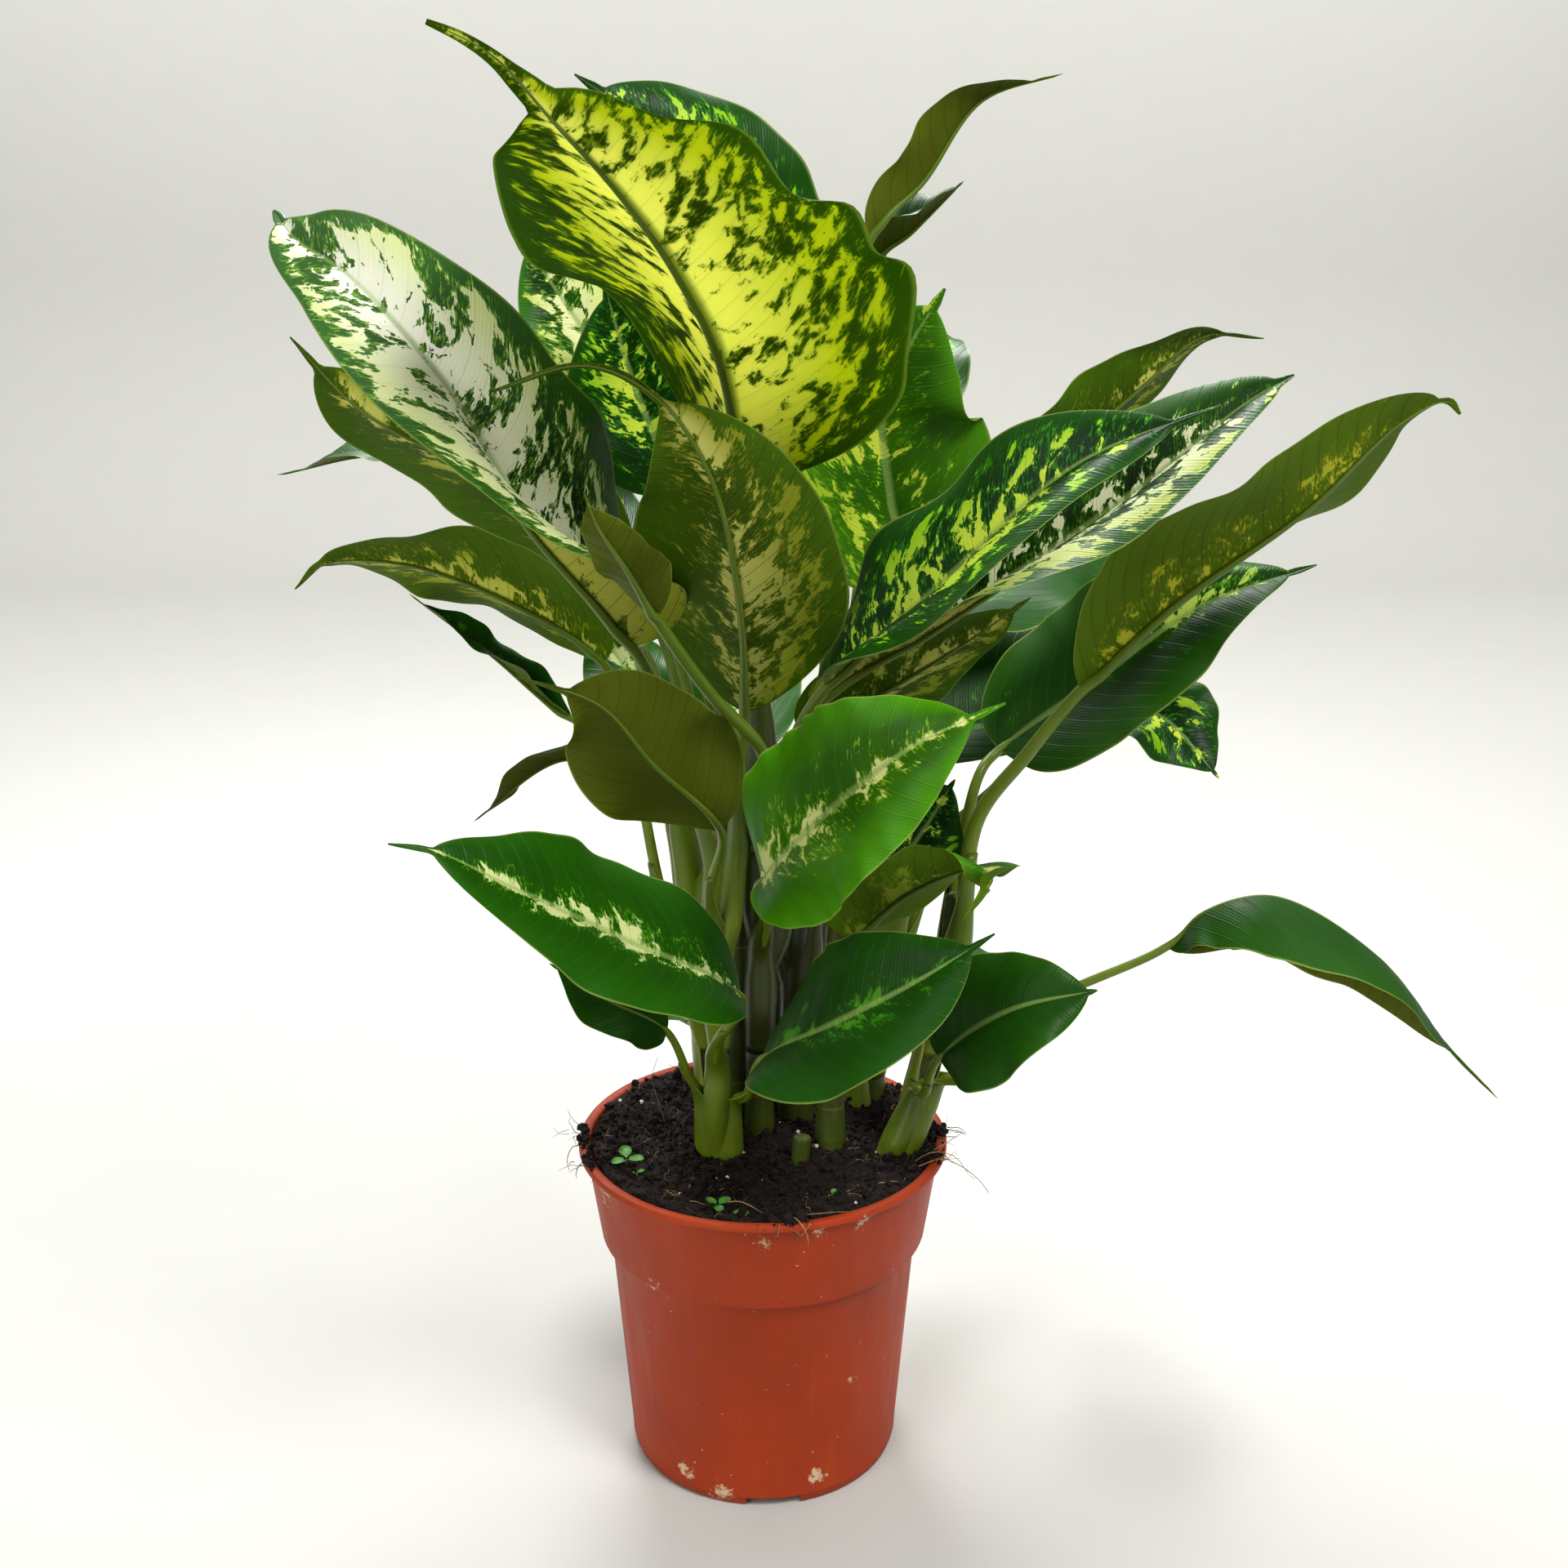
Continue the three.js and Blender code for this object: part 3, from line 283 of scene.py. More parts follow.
class Line:
    """A smooth line through points, read by the share of its length."""

    STEPS = 40
    NEAR = 0.004

    def __init__(self, points):
        points = [Vector(point) * MM for point in points]
        ends = [2 * points[0] - points[1], *points, 2 * points[-1] - points[-2]]
        self.places = [points[0]]
        self.marks = [0]
        for four in zip(ends, ends[1:], ends[2:], ends[3:]):
            self.places += [self.between(four, step / self.STEPS) for step in range(1, self.STEPS + 1)]
            self.marks.append(len(self.places) - 1)
        self.lengths = [0.0]
        for here, there in zip(self.places, self.places[1:]):
            self.lengths.append(self.lengths[-1] + (there - here).length)
        self.length = self.lengths[-1]

    @staticmethod
    def between(four, share):
        """A point between the two middle ones of four, by the centripetal rule."""
        a, b, c, d = four
        before, here, after = (math.sqrt((q - p).length) for p, q in ((a, b), (b, c), (c, d)))
        leave = ((b - a) / before - (c - a) / (before + here) + (c - b) / here) * here
        enter = ((c - b) / here - (d - b) / (here + after) + (d - c) / after) * here
        cubic = 2 * b - 2 * c + leave + enter
        square = 3 * c - 3 * b - 2 * leave - enter
        return ((cubic * share + square) * share + leave) * share + b

    def share_of_point(self, index):
        return self.lengths[self.marks[index]] / self.length

    def at(self, share):
        wanted = min(max(share, 0.0), 1.0) * self.length
        index = min(max(bisect_left(self.lengths, wanted), 1), len(self.lengths) - 1)
        low, high = self.lengths[index - 1], self.lengths[index]
        return self.places[index - 1].lerp(self.places[index], (wanted - low) / (high - low))

    def along(self, share):
        """The direction of the line at a share of its length."""
        return (self.at(min(share + self.NEAR, 1.0)) - self.at(max(share - self.NEAR, 0.0))).normalized()


def grid(bm, columns, rows, shape, slot=0, skin=None):
    """Adds a grid whose points a formula puts in place: across from -1 to 1 and along from 0 to 1.
    Its first UV map holds both from 0 to 1, and its second, Skin, what the formula skin gives."""
    plain = bm.loops.layers.uv["UVMap"]
    made = bmesh.ops.create_grid(bm, x_segments=columns, y_segments=rows, size=1, calc_uvs=True)["verts"]
    for vert in made:
        vert.co = shape(vert.co.x, (vert.co.y + 1) / 2)
    faces = {face for vert in made for face in vert.link_faces}
    for face in faces:
        face.material_index = slot
        face.smooth = True
    if skin:
        second = bm.loops.layers.uv["Skin"]
        known = {}
        for face in faces:
            for loop in face.loops:
                if loop.vert not in known:
                    known[loop.vert] = skin(*loop[plain].uv)
                loop[second].uv = known[loop.vert]
    return made, list(faces)


def tube(bm, columns, rows, line, radius, slot=0, start=0.0, end=1.0, shift=None, flat=1.0):
    """Adds a round closed tube along a stretch of a line."""
    def shape(across, along):
        share = start + (end - start) * along
        middle = line.at(share)
        ahead = line.along(share)
        sideways = Vector((0, 1, 0)).cross(ahead).normalized()
        away = ahead.cross(sideways)
        if shift:
            middle = middle + shift(share)
        angle = math.pi * across
        size = radius(share)
        return middle + sideways * size * math.cos(angle) + away * size * flat * math.sin(angle)

    made, faces = grid(bm, columns, rows, shape, slot)
    bmesh.ops.remove_doubles(bm, verts=made, dist=1e-7)
    made = [vert for vert in made if vert.is_valid]
    rims = [edge for vert in made for edge in vert.link_edges if edge.is_boundary]
    caps = bmesh.ops.holes_fill(bm, edges=list(set(rims)), sides=0)["faces"]
    for cap in caps:
        cap.material_index = slot
    return made, caps


def new_bmesh():
    bm = bmesh.new()
    bm.loops.layers.uv.new("UVMap")
    bm.loops.layers.uv.new("Skin")
    return bm


def piece(bm, name, materials, nodes=()):
    """Turns a bmesh into a shown piece that rides on the part's one body and stands for CAD nodes."""
    mesh = bpy.data.meshes.new(name)
    bm.to_mesh(mesh)
    bm.free()
    for material in materials:
        mesh.materials.append(material)
    made = bpy.data.objects.new(name, mesh)
    bpy.context.scene.collection.objects.link(made)
    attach(made, "root")
    if nodes:
        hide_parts(*nodes)
    return made


# Materials

def add(tree, kind, inputs=None, **settings):
    """Adds a node with its settings, and fills its inputs with values or links."""
    made = tree.nodes.new("ShaderNode" + kind)
    for name, value in settings.items():
        setattr(made, name, value)
    for key, value in (inputs or {}).items():
        if isinstance(value, bpy.types.NodeSocket):
            tree.links.new(value, made.inputs[key])
        else:
            made.inputs[key].default_value = value
    return made


def sum_of(tree, kind, *values):
    return add(tree, "Math", dict(enumerate(values)), operation=kind).outputs[0]


def spread(tree, value, low, high, start=0.0, end=1.0):
    """Maps a value from one range to another and stops at both ends."""
    names = ("Value", "From Min", "From Max", "To Min", "To Max")
    return add(tree, "MapRange", dict(zip(names, (value, low, high, start, end)))).outputs[0]


def blended(tree, share, first, second):
    """A mix of two colours, each a socket or RRGGBB."""
    first, second = (srgb(c) if isinstance(c, str) else c for c in (first, second))
    return add(tree, "Mix", {0: share, 6: first, 7: second}, data_type="RGBA").outputs[2]


def grain(tree, place, scale, detail=3.0, roughness=0.55, warp=0.0):
    """Noise between 0 and 1, with one grain to each metre over scale."""
    values = {"Vector": place, "Scale": scale, "Detail": detail, "Roughness": roughness, "Distortion": warp}
    return add(tree, "TexNoise", values).outputs["Fac"]


def new_material(name):
    material = bpy.data.materials.new(name)
    material.use_nodes = True
    tree = material.node_tree
    tree.nodes.clear()
    return material, tree


def finish_material(tree, shader):
    add(tree, "OutputMaterial", {"Surface": shader})


def finish_skin(tree, colour, roughness, ior, bump=None, **more):
    """The usual skin. A bump is its strength, its depth in millimetres and the height that shapes it."""
    inputs = {"Base Color": colour, "Roughness": roughness, "IOR": ior, **more}
    if bump:
        strength, depth, height = bump
        values = {"Strength": strength, "Distance": depth * MM, "Height": height}
        inputs["Normal"] = add(tree, "Bump", values).outputs[0]
    finish_material(tree, add(tree, "BsdfPrincipled", inputs).outputs[0])


def object_place(tree):
    return add(tree, "TexCoord").outputs["Object"]


def stretched(tree, place, *sizes):
    """A place measured in units of three sizes in millimetres."""
    scale = [1 / (size * MM) for size in sizes]
    return add(tree, "Mapping", {"Vector": place, "Scale": scale}).outputs[0]


# How each kind of leaf is marked. Near the midrib its splashes fill so much, they fall off towards
# their reach, and soft is how gently they fade. Lean makes them stronger on its right half, base does
# so near its base only, rise adds to them towards the tip, and tip is a colour that its green takes
# there, a painted grey-green sheen. Over is its green, its edge, the speckles round its splashes and its
# splashes at the midrib and further out. Under is the green, the edge and the two splashes seen from below.
LOOKS = {
    "cream": dict(
        # The tip colour is painted grey-green sheen
        fill=0.3, fall=0.34, reach=0.8, lean=-0.1, soft=0.04, base=-0.95, tip="46743a",
        over=("0a2c06", "285e14", "7aa836", "fcfcf0", "e4ecac"),
        under=("465c06", "567008", "b8b648", "9ca42c")),
    "cream_dark": dict(
        fill=-0.1, fall=0.2, reach=0.8, lean=0.8, soft=0.04,
        over=("0a2405", "2e6018", "457d10", "f0f2cc", "bccc60"),
        under=("3c4a0a", "54600c", "a8a648", "90902c")),
    "bright": dict(
        fill=0.16, fall=0.4, reach=0.8, soft=0.05,
        over=("123c08", "3a7a1c", "7aa836", "f4f6c0", "cfe060"),
        under=("466004", "587608", "c2be48", "a2a828")),
    "lime": dict(
        fill=-0.1, fall=0.22, reach=0.76, soft=0.05,
        over=("0a2e06", "1c500a", "33840a", "d2e848", "8cc810"),
        under=("466004", "587608", "c2be48", "a2a828")),
    "dusky": dict(
        fill=-0.06, fall=0.36, reach=0.72, lean=-0.5, soft=0.1,
        over=("0f3803", "1c4c06", "4a900a", "c8dc4c", "8cc41c"),
        under=("3a5206", "4a6e08", "d4cf70", "98a026")),
    "level": dict(
        fill=-0.04, fall=0.42, reach=0.62, lean=0.42, soft=0.1,
        over=("0f3803", "1c4c06", "4a900a", "c8dc4c", "8cc41c"),
        under=("466204", "527404", "d4d060", "a4ac20")),
    "patched": dict(
        fill=-1.15, fall=0.1, reach=0.62, lean=-0.75, soft=0.14, rise=0.85,
        over=("123c04", "2a5c0c", "4a900a", "c0dc5c", "86bc2c"),
        under=("4a6404", "5c7c06", "c8c23c", "a4a818")),
    "spotted": dict(
        fill=-0.3, fall=0.72, reach=0.4, lean=0.9, soft=0.1,
        over=("0f3803", "1c4c06", "4a900a", "c8dc4c", "8cc41c"),
        under=("4a6404", "5c7c06", "c8c23c", "a4a818")),
    "streak": dict(
        fill=0.16, fall=0.98, reach=0.34, soft=0.2,
        over=("1a4e02", "225f03", "55980c", "dfe9a0", "a0c848"),
        under=("465a08", "566c0c", "9c9c38", "889428")),
    "fresh": dict(
        fill=0.04, fall=0.8, reach=0.46, soft=0.24,
        over=("2c5e02", "4a9402", "7cac0c", "e2e490", "b4cc38"),
        under=("4c6a06", "5c800a", "9cac38", "88a428")),
    "faint": dict(
        fill=-0.26, fall=0.42, reach=0.34, soft=0.34,
        over=("153f03", "1c5204", "2e7206", "4a8c14", "347a08"),
        under=("465a08", "546c0e", "7a8428", "6a7c20")),
    "plain": dict(
        fill=-1.3, fall=0.3, reach=0.3, soft=0.1, over=("194604", "215606", "1c5c0a", "5a9a28", "3b8620"),
        under=("4c540c", "5b6812", "6f7a20", "6f7a20")),
    "glossy": dict(
        fill=-0.34, fall=0.1, reach=0.85, lean=-0.6, soft=0.06,
        over=("2c5e04", "4a8a0a", "62a010", "d4e24c", "a8c82c"),
        under=("465a08", "566c0e", "9c9c38", "889428")),
    "backlit": dict(
        fill=0.36, fall=0.6, reach=0.82, lean=-0.12, soft=0.16,
        over=("123806", "2a5c1c", "6a9c14", "dde45a", "b4cc2a"),
        under=("465e02", "567c04", "f0ecac", "c8c828")),
}
VEIN_SPACING = 9.5 * MM
VEINLET_SPACING = 1.9 * MM
BLOTCH_SIZE = (7.4, 6.8, 1000)
FLECK_SIZE = (1.1, 2.6, 1000)
ZONE_SIZE = 30 * MM


def leaf_material(look_name, under):
    """Waxy leaf skin, grown: dark green with pale blotches, each broken up by dark islands."""
    look = LOOKS[look_name]
    fill, fall, reach, soft = (look[key] for key in ("fill", "fall", "reach", "soft"))
    if under:
        body, edge, inner, outer = look["under"]
    else:
        body, edge, fringe, inner, outer = look["over"]
    backlit = look_name == "backlit"
    material, tree = new_material(f"Leaf {look_name} {'underside' if under else 'upper face'}")
    blade = add(tree, "SeparateXYZ", {0: add(tree, "UVMap", uv_map="UVMap").outputs[0]})
    skin = add(tree, "UVMap", uv_map="Skin").outputs[0]
    across = sum_of(tree, "MULTIPLY_ADD", blade.outputs["X"], 2.0, -1.0)
    outward = sum_of(tree, "ABSOLUTE", across)

    # Blotches are long along the side veins, dense at the midrib and lost towards the edge and the tip
    coarse = grain(tree, stretched(tree, skin, *BLOTCH_SIZE), 1.0, 5.0, 0.58, 0.6)
    fine = grain(tree, stretched(tree, skin, *FLECK_SIZE), 1.0, 3.0, 0.6, 0.3)
    zone = grain(tree, skin, 1 / ZONE_SIZE, 2.0)
    value = spread(tree, outward, 0.0, reach, fill, fill - fall)
    for noise_value, weight in ((coarse, 3.6), (zone, 2.0), (fine, 0.8)):
        value = sum_of(tree, "MULTIPLY_ADD", sum_of(tree, "SUBTRACT", noise_value, 0.5), weight, value)
    value = sum_of(tree, "ADD", value, spread(tree, outward, reach, reach + 0.2, 0.0, -1.0))
    value = sum_of(tree, "ADD", value, spread(tree, blade.outputs["Y"], 0.80, 1.0, 0.0, -0.6))
    if "lean" in look:
        value = sum_of(tree, "MULTIPLY_ADD", across, look["lean"], value)
    if "base" in look:
        at_base = spread(tree, blade.outputs["Y"], 0.1, 0.6, look["base"], 0.0)
        value = sum_of(tree, "MULTIPLY_ADD", across, at_base, value)
    if "rise" in look:
        value = sum_of(tree, "ADD", value, spread(tree, blade.outputs["Y"], 0.35, 0.6, 0.0, look["rise"]))
    splash = spread(tree, value, -0.4 * soft, 0.6 * soft)
    flecked = sum_of(tree, "MULTIPLY_ADD", sum_of(tree, "SUBTRACT", fine, 0.5), 2.4, value)
    speckle = spread(tree, flecked, -0.22, -0.06)

    # Side veins, the fine veins between them and the line of the midrib
    start = add(tree, "SeparateXYZ", {0: skin}).outputs["X"]
    vein = spread(tree, sum_of(tree, "PINGPONG", start, VEIN_SPACING / 2), 0.0, 0.8 * MM, 1.0, 0.0)
    veinlet = spread(tree, sum_of(tree, "PINGPONG", start, VEINLET_SPACING / 2), 0.0, 0.7 * MM, 1.0, 0.0)
    rib = spread(tree, outward, 0.02, 0.055, 1.0, 0.0)
    rim = spread(tree, outward, 0.970, 0.988)

    patchy = spread(tree, zone, 0.38, 0.68, 0.0, 0.55)
    if under:
        green = blended(tree, spread(tree, outward, 0.2, 1.0), body, edge)
        green = blended(tree, patchy, green, edge)
        pale = blended(tree, spread(tree, outward, 0.08, 0.6), inner, outer)
        colour = blended(tree, sum_of(tree, "MULTIPLY", speckle, 0.45), green, outer)
        colour = blended(tree, sum_of(tree, "MULTIPLY", splash, 0.85), colour, pale)
        colour = blended(tree, sum_of(tree, "MULTIPLY", vein, 0.1 if backlit else 0.3), colour, "2f3a08")
        colour = blended(tree, sum_of(tree, "MULTIPLY", rib, 0.8), colour, "5f6c14")
    else:
        green = blended(tree, spread(tree, outward, 0.45, 1.0), body, edge)
        green = blended(tree, patchy, green, edge)
        # Painted sheen: the green turns grey-green towards the tip
        if "tip" in look:
            tip_sheen = spread(tree, blade.outputs["Y"], 0.35, 0.95, 0.0, 0.85)
            green = blended(tree, tip_sheen, green, look["tip"])
        pale = blended(tree, spread(tree, outward, 0.15, 0.75), inner, outer)
        colour = blended(tree, sum_of(tree, "MULTIPLY", speckle, 0.85), green, fringe)
        colour = blended(tree, splash, colour, pale)
        colour = blended(tree, sum_of(tree, "MULTIPLY", vein, 0.08), colour, fringe)
        colour = blended(tree, sum_of(tree, "MULTIPLY", rib, 0.6), colour, "8fae5a")
    colour = blended(tree, sum_of(tree, "MULTIPLY", rim, 0.55), colour, "9aac52")

    pores = grain(tree, skin, 1 / (1.0 * MM), 2.0, 0.7)
    lift = sum_of(tree, "MULTIPLY", pores, 0.45)
    lift = sum_of(tree, "MULTIPLY_ADD", vein, 0.6 if under else -0.5, lift)
    lift = sum_of(tree, "MULTIPLY_ADD", veinlet, 0.22 if under else -0.22, lift)
    bump = add(tree, "Bump", {"Strength": 0.5, "Distance": 0.35 * MM, "Height": lift}).outputs[0]
    gloss = spread(tree, coarse, 0.3, 0.7, 0.52 if under else 0.36, 0.64 if under else 0.5)
    front = add(tree, "BsdfPrincipled", {"Base Color": colour, "Roughness": gloss, "IOR": 1.42,
                                         "Specular IOR Level": 0.12 if under else 0.22, "Normal": bump})
    through = add(tree, "BsdfTranslucent", {"Color": colour, "Normal": bump})
    both = add(tree, "MixShader", {0: 0.7 if backlit else 0.24, 1: front.outputs[0], 2: through.outputs[0]})
    finish_material(tree, both.outputs[0])
    return material


FLESH = {"Subsurface Weight": 0.1, "Subsurface Scale": 2 * MM}


def stalk_material(name, edged, foot, top):
    """Fleshy stalk skin, grown: streaked lengthways, paler at its foot and where a sheath is thin."""
    material, tree = new_material(name)
    way = add(tree, "SeparateXYZ", {0: add(tree, "UVMap", uv_map="UVMap").outputs[0]})
    place = object_place(tree)
    streaks = grain(tree, stretched(tree, place, 1.3, 1.3, 40), 1.0, 3.0)
    patches = grain(tree, place, 1 / (28 * MM), 2.0)
    colour = blended(tree, spread(tree, way.outputs["Y"], 0.0, 0.6), foot, top)
    colour = blended(tree, spread(tree, streaks, 0.45, 0.7, 0.0, 0.5), colour, top)
    colour = blended(tree, spread(tree, patches, 0.5, 0.8, 0.0, 0.35), colour, foot)
    if edged:
        outward = sum_of(tree, "ABSOLUTE", sum_of(tree, "MULTIPLY_ADD", way.outputs["X"], 2.0, -1.0))
        colour = blended(tree, spread(tree, outward, 0.80, 0.99, 0.0, 0.6), colour, "a4aa58")
    finish_skin(tree, colour, 0.38, 1.42, (0.25, 0.25, streaks), **FLESH)
    return material


def shoot_material():
    """Fleshy shoot skin, grown: green with brown patches and a faint scar at each joint, its dark tones
    partly painted shade.
    """
    material, tree = new_material("Shoot skin")
    place = object_place(tree)
    streaks = grain(tree, stretched(tree, place, 1.8, 1.8, 35), 1.0, 3.0)
    patches = grain(tree, place, 1 / (22 * MM), 3.0)
    height = add(tree, "SeparateXYZ", {0: place}).outputs["Z"]
    joint = spread(tree, sum_of(tree, "PINGPONG", height, JOINT_SPACING * MM / 2), 0.0, 0.9 * MM, 1.0, 0.0)
    # Dark olive and brown: partly the shoot's own colour, partly painted shade of the foliage over the
    # shoots
    colour = blended(tree, spread(tree, patches, 0.42, 0.66), "303c08", "201f07")
    colour = blended(tree, spread(tree, streaks, 0.45, 0.75, 0.0, 0.5), colour, "4a5a14")
    colour = blended(tree, spread(tree, height, 0.150, 0.185, 0.6, 0.0), colour, "4c5a18")
    colour = blended(tree, sum_of(tree, "MULTIPLY", joint, 0.4), colour, "7d7840")
    finish_skin(tree, colour, 0.42, 1.42, (0.3, 0.3, streaks), **FLESH)
    return material


def cut_material():
    """Cut shoot flesh, healed dry: dull and matte, its olive darkened with painted shade."""
    material, tree = new_material("Healed cut")
    mottle = grain(tree, object_place(tree), 1 / (2.0 * MM), 3.0)
    # The olive of the cut is partly healed flesh, partly painted shade of the clump round the stub
    colour = blended(tree, spread(tree, mottle, 0.35, 0.65), "3c4812", "6f7632")
    finish_skin(tree, colour, 0.7, 1.4)
    return material


# Places and sizes, in millimetres, of the chalky marks that hard water left on the pot
CHALK = [
    ((-73, -40, 146), 13), ((-76, -25, 150), 9), ((0, -82, 146), 8), ((24, -80, 149), 8),
    ((44, -70, 150), 9), ((24, -58, 14), 11), ((-36, -52, 12), 10), ((-20, -60, 6), 12),
    ((-46, -52, 110), 14), ((38, -52, 60), 7),
]


def pot_material(colour_property):
    """Terracotta-coloured polypropylene, injection moulded: satin, with chalky water marks and dust."""
    material, tree = new_material("Moulded polypropylene")
    place = object_place(tree)
    cloud = grain(tree, place, 1 / (45 * MM), 3.0)
    rub = grain(tree, stretched(tree, place, 9, 9, 50), 1.0, 4.0)
    specks = grain(tree, place, 1 / (2.2 * MM), 2.0, 0.5)
    crust = grain(tree, place, 1 / (3.5 * MM), 5.0, 0.7)
    colour = blended(tree, spread(tree, cloud, 0.35, 0.7, 0.0, 0.55), tuple(colour_property), "842c0c")
    colour = blended(tree, spread(tree, rub, 0.55, 0.75, 0.0, 0.35), colour, "a8431a")
    marks = None
    for centre, size in CHALK:
        away = add(tree, "VectorMath", {0: place, 1: Vector(centre) * MM}, operation="DISTANCE")
        near = spread(tree, away.outputs["Value"], 0.2 * size * MM, size * MM, 0.30, 0.0)
        marks = near if marks is None else sum_of(tree, "MAXIMUM", marks, near)
    chalk = spread(tree, sum_of(tree, "ADD", crust, marks), 0.74, 0.84, 0.0, 0.75)
    colour = blended(tree, chalk, colour, "d9c3a0")
    colour = blended(tree, spread(tree, specks, 0.745, 0.775, 0.0, 0.7), colour, "dfb08c")
    roughness = spread(tree, sum_of(tree, "MAXIMUM", chalk, rub), 0.3, 0.8, 0.45, 0.72)
    height = sum_of(tree, "MULTIPLY_ADD", crust, chalk, sum_of(tree, "MULTIPLY", cloud, 0.4))
    finish_skin(tree, colour, roughness, 1.49, (0.3, 0.3, height), **{"Specular IOR Level": 0.25})
    return material


def peat_material():
    """Peat compost, loose and damp: near black with brown crumbs."""
    material, tree = new_material("Peat compost")
    place = object_place(tree)
    crumbs = grain(tree, place, 1 / (2.2 * MM), 6.0, 0.7)
    patches = grain(tree, place, 1 / (14 * MM), 3.0)
    colour = blended(tree, spread(tree, crumbs, 0.45, 0.72), "080504", "2f1b10")
    colour = blended(tree, spread(tree, patches, 0.45, 0.7, 0.0, 0.6), colour, "160d08")
    finish_skin(tree, colour, 0.92, 1.4, (0.9, 1.2, crumbs))
    return material


def plain_material(name, dark, light, size, roughness):
    """One natural colour that drifts between two tones, in grains of a size in millimetres."""
    material, tree = new_material(name)
    drift = grain(tree, object_place(tree), 1 / (size * MM), 3.0)
    colour = blended(tree, spread(tree, drift, 0.35, 0.65), dark, light)
    finish_skin(tree, colour, roughness, 1.45, (0.3, 0.2, drift))
    return material


# The pot and what fills it, in millimetres

POT_HEIGHT = 156
STEP_HEIGHT = 111
BODY_TOP_RADIUS = 71.2
COLLAR_RADIUS = 75.5
FLOOR_HEIGHT = 6.2
RIM_INSIDE = 79
RIM_OUTSIDE = 85
SOIL_LEVEL = 148
SOIL_BANK = 7
SOIL_BANK_FOOT = 48
SOIL_TOP_RADIUS = 78
MOUND = 2.5
MOUND_REACH = 13 * MM
SHOOT_FEET = [(points[0][0] * MM, points[0][1] * MM) for points, _, _ in SHOOTS.values()]


class PotSettings(bpy.types.PropertyGroup):
    rim_radius: FloatProperty(name="Rim radius", description="Outside radius of the rolled rim",
                              default=RIM_OUTSIDE * MM, unit="LENGTH")
    base_radius: FloatProperty(name="Base radius", description="Outside radius of the foot",
                               default=62.6 * MM, unit="LENGTH")
    wall: FloatProperty(name="Wall", description="Thickness of the wall", default=1.8 * MM, unit="LENGTH")
    sides: IntProperty(name="Sides", description="Steps that the wall is turned in", default=192, min=24)
    colour: FloatVectorProperty(name="Colour", description="Colour of the plastic", subtype="COLOR", size=4,
                                default=srgb("9e3206"), min=0, max=1)


def spun(bm, profile, steps):
    """Turns a profile of (radius, height) pairs in metres about Z and closes its poles."""
    verts = [bm.verts.new((radius, 0, height)) for radius, height in profile]
    edges = [bm.edges.new(pair) for pair in zip(verts, verts[1:])]
    bmesh.ops.spin(bm, geom=verts + edges, cent=(0, 0, 0), axis=(0, 0, 1), angle=2 * math.pi, steps=steps,
                   use_merge=True, use_duplicate=False)
    bmesh.ops.remove_doubles(bm, verts=bm.verts, dist=1e-6)
    bmesh.ops.recalc_face_normals(bm, faces=bm.faces)
    for face in bm.faces:
        face.smooth = True


def cutter(name, build):
    bm = bmesh.new()
    build(bm)
    mesh = bpy.data.meshes.new(name)
    bm.to_mesh(mesh)
    bm.free()
    made = bpy.data.objects.new(name, mesh)
    bpy.context.scene.collection.objects.link(made)
    return made


